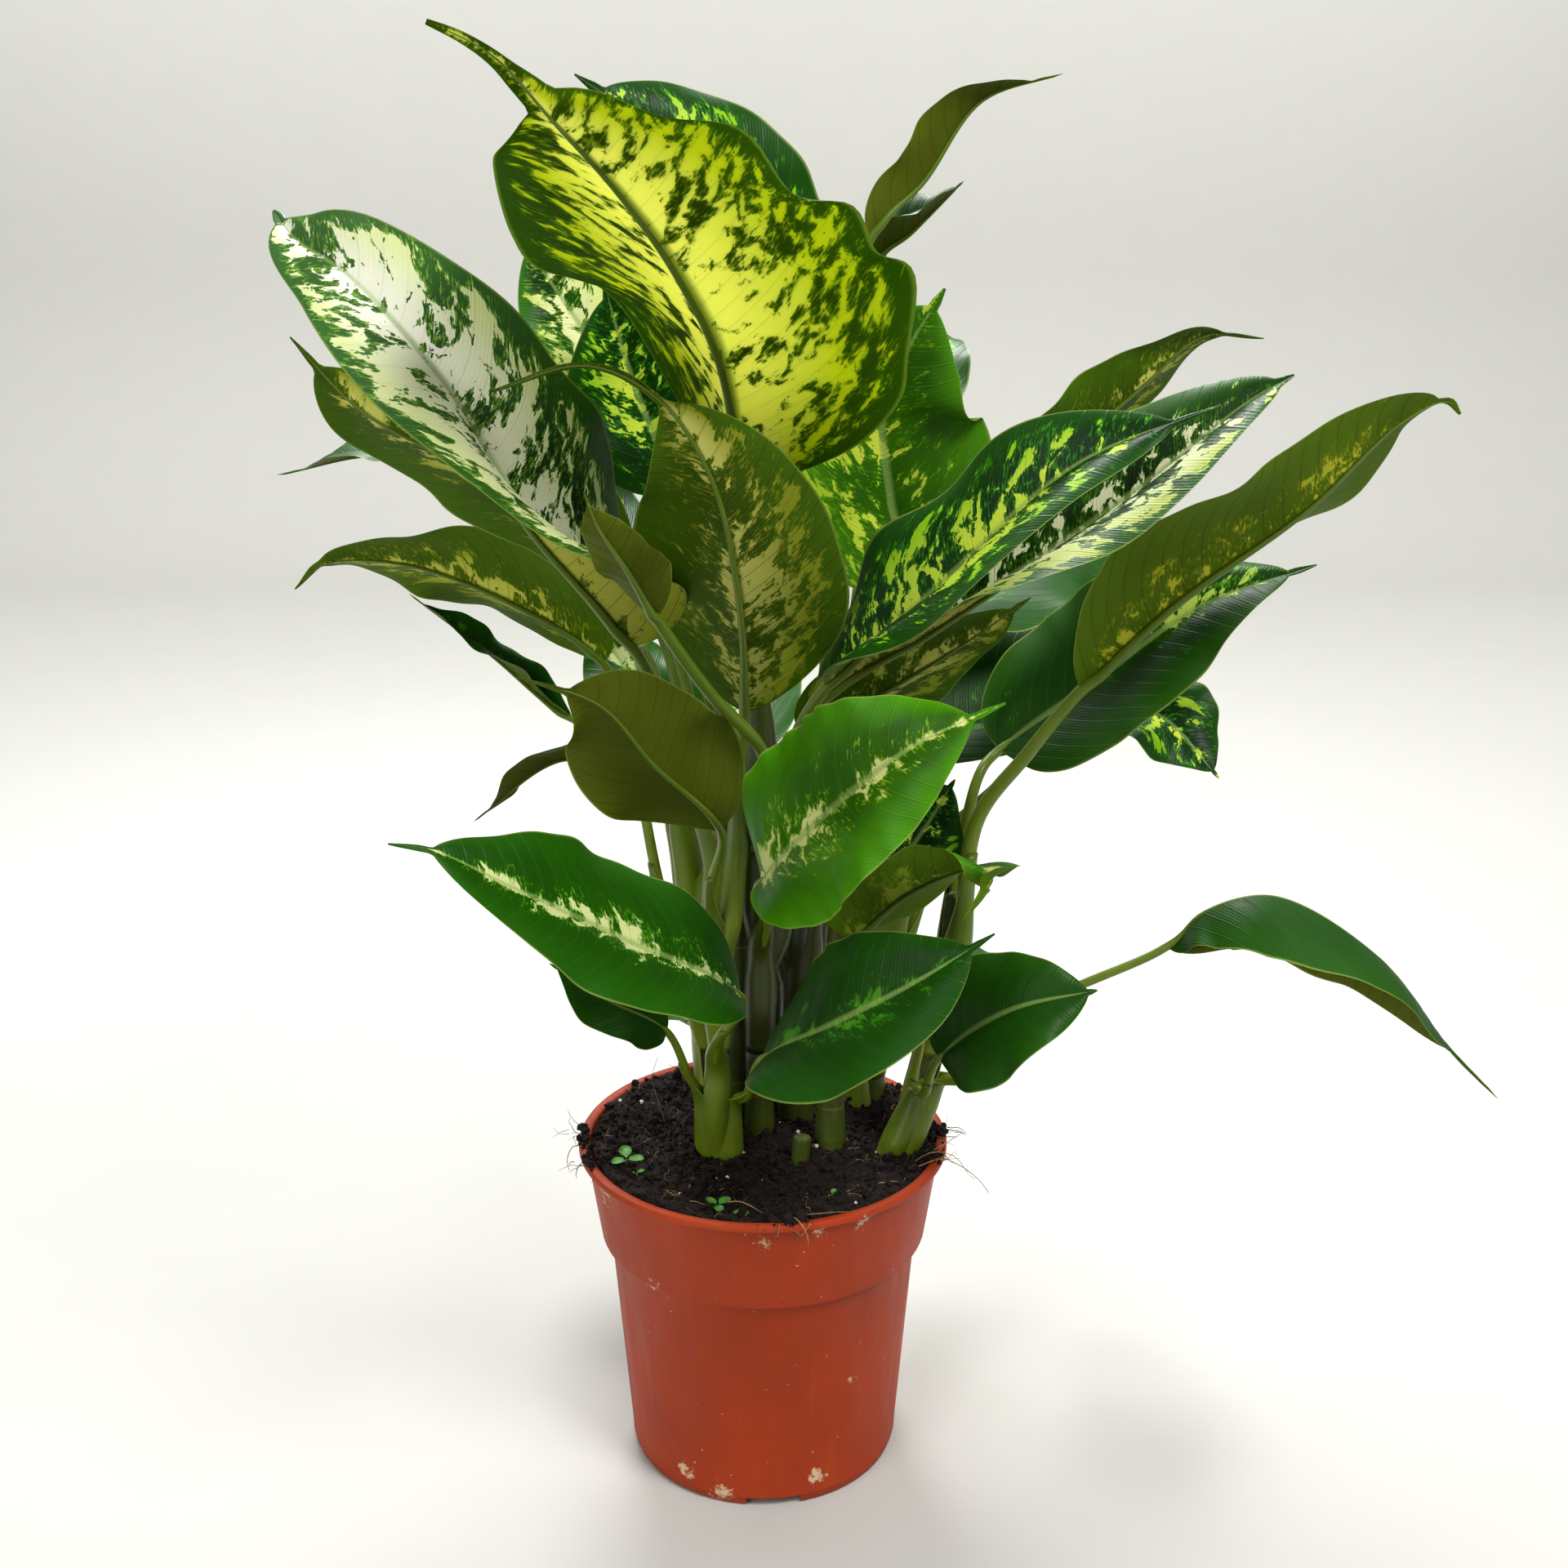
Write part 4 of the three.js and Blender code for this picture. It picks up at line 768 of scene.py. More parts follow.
class PLANT_OT_make_pot(bpy.types.Operator):
    """Turns the pot's wall, cuts its drain holes and foot notches, and rounds its edges"""

    bl_idname = "plant.make_pot"
    bl_label = "Pot"

    DRAIN_HOLES = 8
    DRAIN_CIRCLE = 38 * MM
    NOTCHES = 3
    NOTCH_SIZE = (25 * MM, 30 * MM, 9 * MM)
    NOTCH_TURN = math.radians(4)

    def execute(self, context):
        pot = context.scene.plant.pot
        wall, base, rim = pot.wall, pot.base_radius, pot.rim_radius
        bead_foot = (POT_HEIGHT - 3.6) * MM
        profile = [
            (0, 0), (22 * MM, 0), (24 * MM, 4 * MM), (base - 12 * MM, 4 * MM), (base - 10 * MM, 0),
            (base - 2.5 * MM, 0), (base - 0.7 * MM, 0.7 * MM), (base, 2.5 * MM),
            (base + 0.33 * MM, 4.6 * MM), (base + 0.55 * MM, 4.9 * MM), (base + 0.42 * MM, 5.4 * MM),
            (BODY_TOP_RADIUS * MM, (STEP_HEIGHT - 1.4) * MM),
            ((BODY_TOP_RADIUS + 0.3) * MM, (STEP_HEIGHT - 0.9) * MM),
            ((COLLAR_RADIUS - 1.2) * MM, (STEP_HEIGHT - 0.7) * MM),
            ((COLLAR_RADIUS - 0.3) * MM, (STEP_HEIGHT - 0.3) * MM),
            (COLLAR_RADIUS * MM, (STEP_HEIGHT + 0.6) * MM),
            (81.4 * MM, bead_foot - 1.0 * MM), (rim - 2.6 * MM, bead_foot - 0.2 * MM),
            (rim - 0.8 * MM, bead_foot), (rim - 0.1 * MM, bead_foot + 0.9 * MM),
            (rim - 0.1 * MM, (POT_HEIGHT - 1.2) * MM), (rim - 0.7 * MM, (POT_HEIGHT - 0.3) * MM),
            (rim - 1.7 * MM, POT_HEIGHT * MM), (rim - 3.6 * MM, (POT_HEIGHT - 0.1) * MM),
            (rim - 4.9 * MM, (POT_HEIGHT - 0.8) * MM), (rim - 5.4 * MM, (POT_HEIGHT - 2.4) * MM),
            (COLLAR_RADIUS * MM - wall, (STEP_HEIGHT + 1.8) * MM),
            (BODY_TOP_RADIUS * MM - wall, (STEP_HEIGHT - 1.8) * MM),
            (base - wall, FLOOR_HEIGHT * MM), (0, FLOOR_HEIGHT * MM),
        ]
        bm = new_bmesh()
        spun(bm, profile, pot.sides)
        made = piece(bm, "nursery_pot", [pot_material(pot.colour)], ["pot"])

        def holes(bm):
            for hole in range(self.DRAIN_HOLES):
                angle = (hole + 0.5) / self.DRAIN_HOLES * 2 * math.pi
                place = Matrix.Rotation(angle, 4, "Z") @ Matrix.Translation((self.DRAIN_CIRCLE, 0, 0))
                bmesh.ops.create_cone(bm, cap_ends=True, segments=32, radius1=5 * MM, radius2=5 * MM,
                                      depth=30 * MM, matrix=place)
            for notch in range(self.NOTCHES):
                turn = Matrix.Rotation(self.NOTCH_TURN + notch / self.NOTCHES * 2 * math.pi, 4, "Z")
                place = turn @ Matrix.Translation((0, 5 * MM - pot.base_radius, 0))
                bmesh.ops.create_cube(bm, size=1, matrix=place @ Matrix.Diagonal((*self.NOTCH_SIZE, 1)))

        tool = cutter("pot_cutter", holes)
        cut = made.modifiers.new("Holes and notches", "BOOLEAN")
        cut.object = tool
        cut.operation = "DIFFERENCE"
        cut.solver = "MANIFOLD"
        rounding = made.modifiers.new("Moulded edges", "BEVEL")
        rounding.width = 0.35 * MM
        rounding.segments = 2
        rounding.limit_method = "ANGLE"
        rounding.angle_limit = math.radians(40)
        shown = made.evaluated_get(context.evaluated_depsgraph_get())
        mesh = bpy.data.meshes.new_from_object(shown)
        made.modifiers.clear()
        made.data = mesh
        bpy.data.objects.remove(tool)
        for polygon in mesh.polygons:
            polygon.use_smooth = True
        mesh.set_sharp_from_angle(angle=math.radians(35))
        if len(mesh.polygons) < pot.sides * len(profile) // 2:
            raise RuntimeError("the pot's wall was lost in cutting its holes")
        return {"FINISHED"}


def soil_height(x, y):
    """The height of the peat's top in metres over a point in metres."""
    a, b = x / (10 * MM), y / (10 * MM)
    lumps = 2.2 * (math.sin(a) * math.cos(b) + math.sin(a / 2 + b) / 2)
    crumbs = 2.0 * noise.fractal(Vector((a * 1.6, b * 1.6, 3.1)), 0.9, 2.1, 4)
    bank = SOIL_BANK * smooth(SOIL_BANK_FOOT * MM, SOIL_TOP_RADIUS * MM, math.hypot(x, y))
    for foot_x, foot_y in SHOOT_FEET:
        bank += MOUND * math.exp(-((x - foot_x) ** 2 + (y - foot_y) ** 2) / MOUND_REACH ** 2)
    return (SOIL_LEVEL + bank + lumps + crumbs) * MM


class SoilSettings(bpy.types.PropertyGroup):
    crumbs: IntProperty(name="Crumbs", description="Loose crumbs on the peat", default=4200, min=0)
    fibres: IntProperty(name="Fibres", description="Loose plant fibres on the peat", default=300, min=0)
    grit: IntProperty(name="Grit", description="White perlite grains on the peat", default=26, min=0)


def wiggle(draw, start, heading, length, turns=4, droop=0.0):
    """Points of a thin fibre that wanders from a start, in millimetres."""
    points = [Vector(start)]
    ahead = Vector(heading).normalized()
    for _ in range(turns):
        swerve = Vector((draw.gauss(0, 0.4), draw.gauss(0, 0.4), draw.gauss(0, 0.3) - droop))
        ahead = (ahead + swerve).normalized()
        points.append(points[-1] + ahead * length / turns)
    return points


class PLANT_OT_fill_soil(bpy.types.Operator):
    """Fills the pot with peat and strews crumbs, fibres, grit and seedlings on it"""

    bl_idname = "plant.fill_soil"
    bl_label = "Soil"

    def execute(self, context):
        settings = context.scene.plant.soil
        wall = context.scene.plant.pot.wall
        draw = random.Random(11)
        peat = peat_material()
        top = 78.4 * MM
        rings = 70
        inset = wall + CLEAR
        profile = [(0, 6.5 * MM), (62.6 * MM - inset, 6.5 * MM), (BODY_TOP_RADIUS * MM - inset, 109 * MM),
                   (COLLAR_RADIUS * MM - inset, 113 * MM)]
        profile += [(top * ring / rings, SOIL_LEVEL * MM) for ring in range(rings, -1, -1)]
        bm = new_bmesh()
        spun(bm, profile, 220)
        for vert in bm.verts:
            if vert.co.z > (SOIL_LEVEL - 1) * MM:
                vert.co.z = soil_height(vert.co.x, vert.co.y)
        piece(bm, "peat_filling", [peat], ["soil"])

        bm = new_bmesh()
        places = []
        for _ in range(settings.crumbs):
            radius, angle = RIM_INSIDE * math.sqrt(draw.random()), draw.uniform(0, 2 * math.pi)
            places.append((radius * math.cos(angle), radius * math.sin(angle), 0.3))
        for (x, y), size, count in SPILLS:
            for _ in range(count):
                places.append((x + draw.gauss(0, size / 2), y + draw.gauss(0, size / 2), 0.6))
        for x, y, lift in places:
            away = math.hypot(x, y)
            if away > RIM_OUTSIDE:
                continue
            on_rim = away > RIM_INSIDE
            height = POT_HEIGHT * MM if on_rim else soil_height(x * MM, y * MM)
            size = min(0.4 + draw.expovariate(1.5), 3.2) * MM
            stretch = Matrix.Diagonal((1, draw.uniform(0.5, 1), draw.uniform(0.4, 0.8), 1))
            turn = Euler([draw.uniform(0, 6.3) for _ in range(3)]).to_matrix().to_4x4()
            place = Matrix.Translation((x * MM, y * MM, height + lift * size)) @ turn @ stretch
            bmesh.ops.create_icosphere(bm, subdivisions=1, radius=size, matrix=place)
        piece(bm, "peat_crumbs", [peat])

        bm = new_bmesh()
        for index in range(settings.fibres):
            radius, angle = 77 * math.sqrt(draw.random()), draw.uniform(0, 2 * math.pi)
            x, y = radius * math.cos(angle), radius * math.sin(angle)
            length = draw.uniform(4, 15)
            points = wiggle(draw, (x, y, 0), (draw.gauss(0, 1), draw.gauss(0, 1), 0), length)
            for point in points:
                point.z = soil_height(point.x * MM, point.y * MM) / MM + draw.uniform(0.0, 1.4)
            self.fibre(bm, points, draw.uniform(0.12, 0.3), index % 3 // 2)
        for (x, y), size, count in SPILLS:
            outward = Vector((x, y, 0)).normalized()
            for index in range(count // 9):
                start = Vector((x, y, POT_HEIGHT + 0.8))
                start += Vector((draw.gauss(0, size / 2), draw.gauss(0, size / 2), 0))
                heading = outward + Vector((draw.gauss(0, 0.7), draw.gauss(0, 0.7), draw.gauss(0.1, 0.3)))
                points = wiggle(draw, start, heading, draw.uniform(5, 14), 4, 0.15)
                self.fibre(bm, points, draw.uniform(0.12, 0.28), index % 3 // 2)
        for points, radius in ROOTS:
            self.fibre(bm, [Vector(point) for point in points], radius, 1)
        piece(bm, "plant_fibres", [
            plain_material("Dark rootlets", "2a1a10", "4a3220", 3, 0.85),
            plain_material("Dry rootlets", "7a5a38", "b08c5e", 4, 0.8),
        ])

        bm = new_bmesh()
        for _ in range(settings.grit):
            radius, angle = 76 * math.sqrt(draw.random()), draw.uniform(0, 2 * math.pi)
            x, y = radius * math.cos(angle) * MM, radius * math.sin(angle) * MM
            size = draw.uniform(0.4, 1.2) * MM
            turn = Euler([draw.uniform(0, 6.3) for _ in range(3)]).to_matrix().to_4x4()
            place = Matrix.Translation((x, y, soil_height(x, y) + 0.4 * size)) @ turn
            bmesh.ops.create_icosphere(bm, subdivisions=1, radius=size, matrix=place)
        perlite = plain_material("Expanded perlite", "c9c6ba", "f0eee6", 0.6, 0.9)
        piece(bm, "perlite_grit", [perlite])
        self.seedlings(draw)
        return {"FINISHED"}

    @staticmethod
    def fibre(bm, points, radius, slot):
        tube(bm, 4, 2 * len(points), Line(points), lambda share: radius * MM * (1 - 0.6 * share), slot)

    @staticmethod
    def seedlings(draw):
        """Small weeds: a thin stalk and round leaflets on each."""
        bm = new_bmesh()
        for (x, y), height, leaflets in WEEDS:
            foot = Vector((x, y, soil_height(x * MM, y * MM) / MM - 0.5))
            crown = foot + Vector((draw.uniform(-1, 1), draw.uniform(-1, 1), height))
            middle = (foot + crown) / 2 + Vector((0.4, 0, 0))
            tube(bm, 6, 8, Line([foot, middle, crown]), lambda share: 0.35 * MM, 1)
            for turn, size, tilt in leaflets:
                angle = math.radians(turn)
                outward = Vector((math.cos(angle), math.sin(angle), math.sin(math.radians(tilt))))
                sideways = Vector((-math.sin(angle), math.cos(angle), 0))

                def shape(across, along, lift=0.0):
                    wide = math.sin(math.pi * min(1.0, 0.04 + 0.96 * along)) ** 0.55
                    middle = crown + outward * size * (0.15 + along)
                    middle.z += (0.12 * across * across - 0.18 * along * along) * size + lift
                    return (middle + sideways * across * wide * size * 0.42) * MM

                grid(bm, 8, 8, shape)
                _, faces = grid(bm, 8, 8, lambda across, along: shape(across, along, -0.12))
                bmesh.ops.reverse_faces(bm, faces=faces)
        bmesh.ops.remove_doubles(bm, verts=bm.verts, dist=1e-7)
        piece(bm, "seedlings", [
            plain_material("Seedling leaf", "2c6b1e", "5d9a2c", 3, 0.5),
            plain_material("Seedling stalk", "6d8a3a", "8fa85a", 3, 0.5),
        ])


# Heaps of peat on the rim: the middle and the size of each in millimetres, and its number of crumbs
SPILLS = [
    ((-84, -4), 7, 60), ((-79, -28), 7, 60), ((12, -81), 8, 90), ((83, -2), 8, 120), ((78, -24), 7, 60),
]

# Long roots that hang over the rim: points and radius in millimetres
ROOTS = [
    ([(60, -34, 152), (70, -33, 156), (80, -32, 159), (88, -33, 156), (96, -34, 150), (101, -36, 144)],
     0.35),
    ([(66, -28, 154), (76, -26, 159), (86, -28, 158), (92, -31, 151), (95, -33, 149)], 0.28),
    ([(74, -22, 156), (84, -18, 160), (90, -14, 162), (91, -10, 160)], 0.3),
    ([(-80, -14, 156), (-86, -16, 158), (-89, -18, 152), (-88, -19, 147)], 0.3),
    ([(-82, 2, 157), (-88, 2, 162), (-90, 0, 168)], 0.22),
    ([(10, -76, 156), (14, -82, 158), (18, -86, 154), (19, -87, 148)], 0.35),
    ([(14, -72, 154), (20, -78, 158), (30, -80, 160), (36, -78, 159)], 0.25),
    ([(-18, -56, 151), (-10, -60, 154), (-2, -66, 153), (4, -70, 151)], 0.4),
    ([(-46, 20, 150), (-50, 19, 165), (-52, 18, 176), (-49, 18, 186)], 0.22),
]

# Weeds: place, height in millimetres, and the turn, size and tilt of each leaflet
WEEDS = [
    ((-62, -27), 3.5, [(100, 7, 25), (220, 7, 10), (340, 7.5, 15)]),
    ((-57, -31), 1.5, [(20, 3.5, 20), (200, 3, 20)]),
    ((-20, -58), 2.0, [(40, 6, 15), (160, 5, 30), (280, 5, 5)]),
    ((-13, -66), 1.0, [(10, 7.5, 5)]),
    ((30, -50), 1.0, [(60, 3, 20), (250, 3, 20)]),
]


# Shoots and leaves

JOINT_SPACING = 34
# Shoots deep in the clump, whose sheaths get a darker skin of painted shade
INNER_SHOOTS = ("centre", "centre_left", "centre_back", "centre_right", "back")
WHIP_WIDTH = 0.045


def shoot_line(name):
    return Line(SHOOTS[name][0])


def shoot_radius(name, line, share):
    """A shoot tapers, and it is thinner between its joints."""
    _, foot, top = SHOOTS[name]
    waist = 0.035 * (1 - math.cos(2 * math.pi * share * line.length / (JOINT_SPACING * MM)))
    return (foot + (top - foot) * share) * (1 - waist) * MM


def shoot_at(name, line, height):
    """The middle of a shoot at a height in millimetres, and its radius there."""
    share = 0.0
    while share < 1 and line.at(share).z < height * MM:
        share += 0.002
    return line.at(share), shoot_radius(name, line, share)


class ShootSettings(bpy.types.PropertyGroup):
    sides: IntProperty(name="Sides", description="Faces round a shoot", default=32, min=8)
    scar: FloatProperty(name="Scar height", description="How far a joint's ring stands out",
                        default=0.2 * MM, unit="LENGTH")


class PLANT_OT_grow_shoots(bpy.types.Operator):
    """Grows the fleshy shoots with a ring at each joint, and the stub of a cut one"""

    bl_idname = "plant.grow_shoots"
    bl_label = "Shoots"

    def execute(self, context):
        settings = context.scene.plant.shoots
        skin = shoot_material()
        for name in SHOOTS:
            line = shoot_line(name)

            def radius(share):
                turn = share * line.length / (JOINT_SPACING * MM) % 1
                ring = math.exp(-((min(turn, 1 - turn)) / 0.03) ** 2)
                closing = math.sqrt(max(0.0, 1 - smooth(0.975, 1.0, share) ** 2)) if share > 0.975 else 1.0
                return (shoot_radius(name, line, share) + settings.scar * ring) * max(closing, 0.05)

            bm = new_bmesh()
            tube(bm, settings.sides, 140, line, radius)
            bmesh.ops.recalc_face_normals(bm, faces=bm.faces)
            piece(bm, f"cane_{name}", [skin], [f"shoot_{name}"])
        bm = new_bmesh()
        line = Line(STUB)

        def radius(share):
            return STUB_RADIUS * MM * (1 + 0.05 * math.sin(9 * share)) * (0.9 if share > 0.985 else 1.0)

        _, caps = tube(bm, settings.sides, 60, line, radius)
        for cap in caps:
            cap.material_index = 1
        bmesh.ops.recalc_face_normals(bm, faces=bm.faces)
        piece(bm, "cut_stub", [skin, cut_material()], ["stub"])
        return {"FINISHED"}


class LeafSettings(bpy.types.PropertyGroup):
    thickness: FloatProperty(name="Thickness", description="Thickness of a blade", default=0.7 * MM,
                             unit="LENGTH")
    quilt: FloatProperty(name="Quilt", description="How far the skin swells between side veins",
                         default=0.14 * MM, unit="LENGTH")
    dome: FloatProperty(name="Dome", description="How far each half arches, as a share of its width",
                        default=0.07, subtype="FACTOR")
    rows: IntProperty(name="Rows", description="Rows of faces along a blade", default=78, min=16)
    columns: IntProperty(name="Columns", description="Columns of faces across a blade", default=36, min=8)


def blade_width(share, whip, fullness):
    """How wide a blade is at a share of its length: a full body, then a drawn-out tip."""
    body = max(0.0, math.sin(math.pi * min(1.0, share / (1 - whip)) ** fullness)) ** 0.7
    drawn = 0.012 + WHIP_WIDTH * (1 - share) / whip
    return max(body, min(drawn, WHIP_WIDTH))


class Leaf:
    """One leaf: its line from the seat beside its shoot to its tip, and the shape of its blade."""

    SEAT_LENGTH = 26
    RISE = 0.65
    FOLD = (1.6, 0.4)
    WAVES = 2.1
    SHEATH_BELOW = 24
    SHEATH_ABOVE = 75

    def __init__(self, name, index, settings):
        self.__dict__.update({**HABIT, **LEAVES[name]})
        if "frill" not in LEAVES[name]:
            self.frill = (0.16 * self.wave, 6.3, 0)
        self.settings = settings
        self.index = index
        self.shoot_line = shoot_line(self.shoot)
        turn = math.radians(self.side)
        self.outward = Vector((math.cos(turn), math.sin(turn), 0))
        half = self.SEAT_LENGTH / 2
        seats = [self.seat(rise * half, clear) for rise, clear in ((0, 0.3), (1, 0.6), (2, 1.2))]
        self.line = Line([*seats, *self.stalk, *self.midrib])
        self.base = self.line.share_of_point(len(seats) + len(self.stalk))
        self.length = self.line.length * (1 - self.base)
        self.half = self.width / 2 * MM
        self.phase = len(name) + self.width
        self.frames = {}

    def seat(self, rise, clear):
        middle, radius = shoot_at(self.shoot, self.shoot_line, self.height + rise)
        return (middle + self.outward * (radius + (self.thick + clear) * MM)) / MM

    def frame(self, along):
        """The middle of the blade at a share of its length, its directions, its half width and its fold."""
        if along not in self.frames:
            share = self.base + (1 - self.base) * along
            ahead = self.line.along(share)
            twist = math.radians(self.twist * (along - 0.5))
            face = Matrix.Rotation(twist, 3, ahead) @ Vector(self.face).normalized()
            sideways = ahead.cross(face).normalized()
            upward = sideways.cross(ahead)
            half = self.half * blade_width(along, self.whip, self.fullness)
            fold = math.radians(self.fold) * (self.FOLD[0] + (self.FOLD[1] - self.FOLD[0]) * along)
            self.frames[along] = self.line.at(share), sideways, upward, half, fold
        return self.frames[along]

    def eased(self, along):
        """Rows lie closer at the base and the tip."""
        return self.RISE * along + (1 - self.RISE) * (1 - math.cos(math.pi * along)) / 2

    def vein_place(self, across, along):
        """Where the side vein through a point leaves the midrib, and how far out the point is."""
        reach = abs(across) * self.frame(along)[3]
        return along * self.length - 0.5 * reach - 0.5 * reach * reach / self.half, reach

    def skin(self, u, v):
        across, along = 2 * u - 1, self.eased(v)
        start, reach = self.vein_place(across, along)
        return start + 0.7 * self.index, math.copysign(reach, across) + 0.31 * self.index

    def point(self, across, along, layer):
        middle, sideways, upward, half, fold = self.frame(along)
        reach = half * across
        arc = math.sin(math.pi * along)
        out = abs(across)
        swing = math.sin(2 * math.pi * self.WAVES * along + self.phase + across)
        height = abs(reach) * math.sin(fold) + self.wave * MM * across ** 2 * swing * arc
        depth, count, only = self.frill
        if across * only < 0:
            depth = 0
        frill = math.sin(2 * math.pi * count * along + 2 * self.phase + 1.7 * math.copysign(1, across))
        height += depth * MM * frill * out ** 4 * arc
        reach += 0.35 * depth * MM * frill * out ** 4 * arc * math.copysign(1, across)
        height += self.settings.dome * half * math.sin(math.pi * out) * smooth(0, 0.15, along)
        start, _ = self.vein_place(across, along)
        swell = math.sin(math.pi * out) ** 0.6 * arc ** 0.5
        height -= self.settings.quilt * math.cos(2 * math.pi * start / VEIN_SPACING) * swell
        height -= 0.25 * MM * math.exp(-(reach / (1.4 * MM)) ** 2) * smooth(1, 0.6, along) * layer
        thin = (1 - out ** 6) * min(1.0, 30 * along) * min(1.0, 30 * (1 - along))
        height += layer * self.settings.thickness / 2 * thin
        return middle + sideways * reach * math.cos(fold) + upward * height

    def build(self, bm):
        columns, rows = self.settings.columns, self.settings.rows
        borders = []
        for layer, slot in ((1, 0), (-1, 1)):
            def shape(across, along):
                return self.point(across, self.eased(along), layer)

            made, faces = grid(bm, columns, rows, shape, slot, self.skin)
            if layer > 0:
                bmesh.ops.reverse_faces(bm, faces=faces)
            borders += [vert for vert in made if vert.is_boundary]
        bmesh.ops.remove_doubles(bm, verts=borders, dist=1e-6)
        for edge in bm.edges:
            edge.smooth = len({face.material_index for face in edge.link_faces}) == 1
        self.build_rib(bm)
        self.build_sheath(bm)

    def stalk_radius(self, share):
        return self.thick * MM * (1 - 0.35 * min(1.0, share / self.base))

    def build_rib(self, bm):
        """The stalk, which runs on under the blade as its midrib."""
        def radius(share):
            inside = max(0.0, (share - self.base) / (1 - self.base))
            foot = 0.4 + 0.6 * smooth(0, 0.25 * self.base, share)
            taper = (1 - inside) ** 0.9 * (1 - 0.3 * smooth(0, 0.2, inside))
            return self.stalk_radius(share) * foot * taper + 0.12 * MM

        def shift(share):
            inside = max(0.0, (share - self.base) / (1 - self.base))
            if inside > 0:
                return -self.frame(inside)[2] * (radius(share) * 0.9) * smooth(-0.01, 0.07, inside)
            return Vector()

        tube(bm, 14, 110, self.line, radius, 2, 0.0, 0.985, shift)

    def build_sheath(self, bm):
        """The foot of the stalk: it wraps the shoot, opens upwards and narrows on to the stalk."""
        above = min(self.SHEATH_ABOVE * MM, 0.7 * self.base * self.line.length)
        below = self.SHEATH_BELOW
        if self.height - below < SOIL_LEVEL + below / 2:
            below = self.height - SOIL_LEVEL + 6
        known = {}

        def section(along):
            """The middle of the wrap, its radius, its bulge over the stalk and how far round it goes."""
            rise = along * (1 + above / (below * MM)) - 1
            share = max(0.0, rise) * below * MM / self.line.length
            stalk = self.line.at(share)
            height = stalk.z / MM + min(0.0, rise) * below
            middle, radius = shoot_at(self.shoot, self.shoot_line, height)
            top = max(0.0, rise) * below * MM / above
            away = Vector((stalk.x - middle.x, stalk.y - middle.y, 0))
            closing = smooth(0.15, 0.85, top)
            thick = self.stalk_radius(share)
            bulge = (away.length + thick - radius) * smooth(-1.1, 0.1, rise) * (1 - closing)
            centre = middle.lerp(stalk, closing)
            centre.z = stalk.z + min(0.0, rise) * below * MM
            size = radius * (1 - closing) + thick * closing
            opened = smooth(-1, 0, rise)
            return centre, size + (0.2 + 0.5 * opened) * MM, bulge, 168 - 40 * opened - 75 * top

        def shape(across, along, layer):
            if along not in known:
                known[along] = section(along)
            centre, size, bulge, wrap = known[along]
            turn = wrap * across
            size += bulge * math.exp(-(turn / 48) ** 2)
            size += layer * 0.3 * MM * (1 - across ** 6) * min(1.0, 12 * along) * min(1.0, 12 * (1 - along))
            angle = math.radians(self.side + turn)
            return centre + Vector((math.cos(angle), math.sin(angle), 0)) * size

        rims = []
        for layer in (1, -1):
            made, faces = grid(bm, 24, 30, lambda across, along: shape(across, along, layer), 3)
            if layer < 0:
                bmesh.ops.reverse_faces(bm, faces=faces)
            rims += [vert for vert in made if vert.is_boundary]
        bmesh.ops.remove_doubles(bm, verts=rims, dist=1e-6)


class PLANT_OT_grow_leaves(bpy.types.Operator):
    """Grows every leaf: its sheath, its stalk with the midrib, and its waved and splashed blade"""

    bl_idname = "plant.grow_leaves"
    bl_label = "Leaves"

    def execute(self, context):
        settings = context.scene.plant.leaves
        stalk = stalk_material("Stalk skin", False, "74851c", "4c640c")
        sheath = stalk_material("Sheath skin", True, "74851c", "50660e")
        # Painted shade: sheaths on the inner shoots get a dark brown-green skin standing for the shade of
        # the foliage over them
        shaded_sheath = stalk_material("Inner sheath skin with painted shade", True, "28300a", "343e0c")
        skins = {look: [leaf_material(look, False), leaf_material(look, True)] for look in LOOKS}
        for index, name in enumerate(LEAVES):
            bm = new_bmesh()
            leaf = Leaf(name, index, settings)
            leaf.build(bm)
            if not bm.faces:
                raise RuntimeError(f"leaf {name} came out empty")
            # Sheaths on inner shoots take the skin with painted shade
            wrap = shaded_sheath if leaf.shoot in INNER_SHOOTS else sheath
            piece(bm, f"foliage_{name}", [*skins[leaf.look], stalk, wrap], [f"leaf_{name}"])
        return {"FINISHED"}


# The studio

class StageSettings(bpy.types.PropertyGroup):
    floor_colour: FloatVectorProperty(name="Floor colour", description="Colour of the floor and the wall",
                                      subtype="COLOR", size=4, default=srgb("b9b9b5"), min=0, max=1)
    key_power: FloatProperty(name="Key light", description="Power of the large light above right",
                             default=33.0, unit="POWER")
    fill_power: FloatProperty(name="Fill light", description="Power of the wide light in front at the left",
                              default=10.0, unit="POWER")
    back_power: FloatProperty(name="Back light", description="Power of the light above and behind",
                              default=30.0, unit="POWER")
    wall_power: FloatProperty(name="Wall light", description="Power of each of the two lights on the wall",
                              default=50.0, unit="POWER")


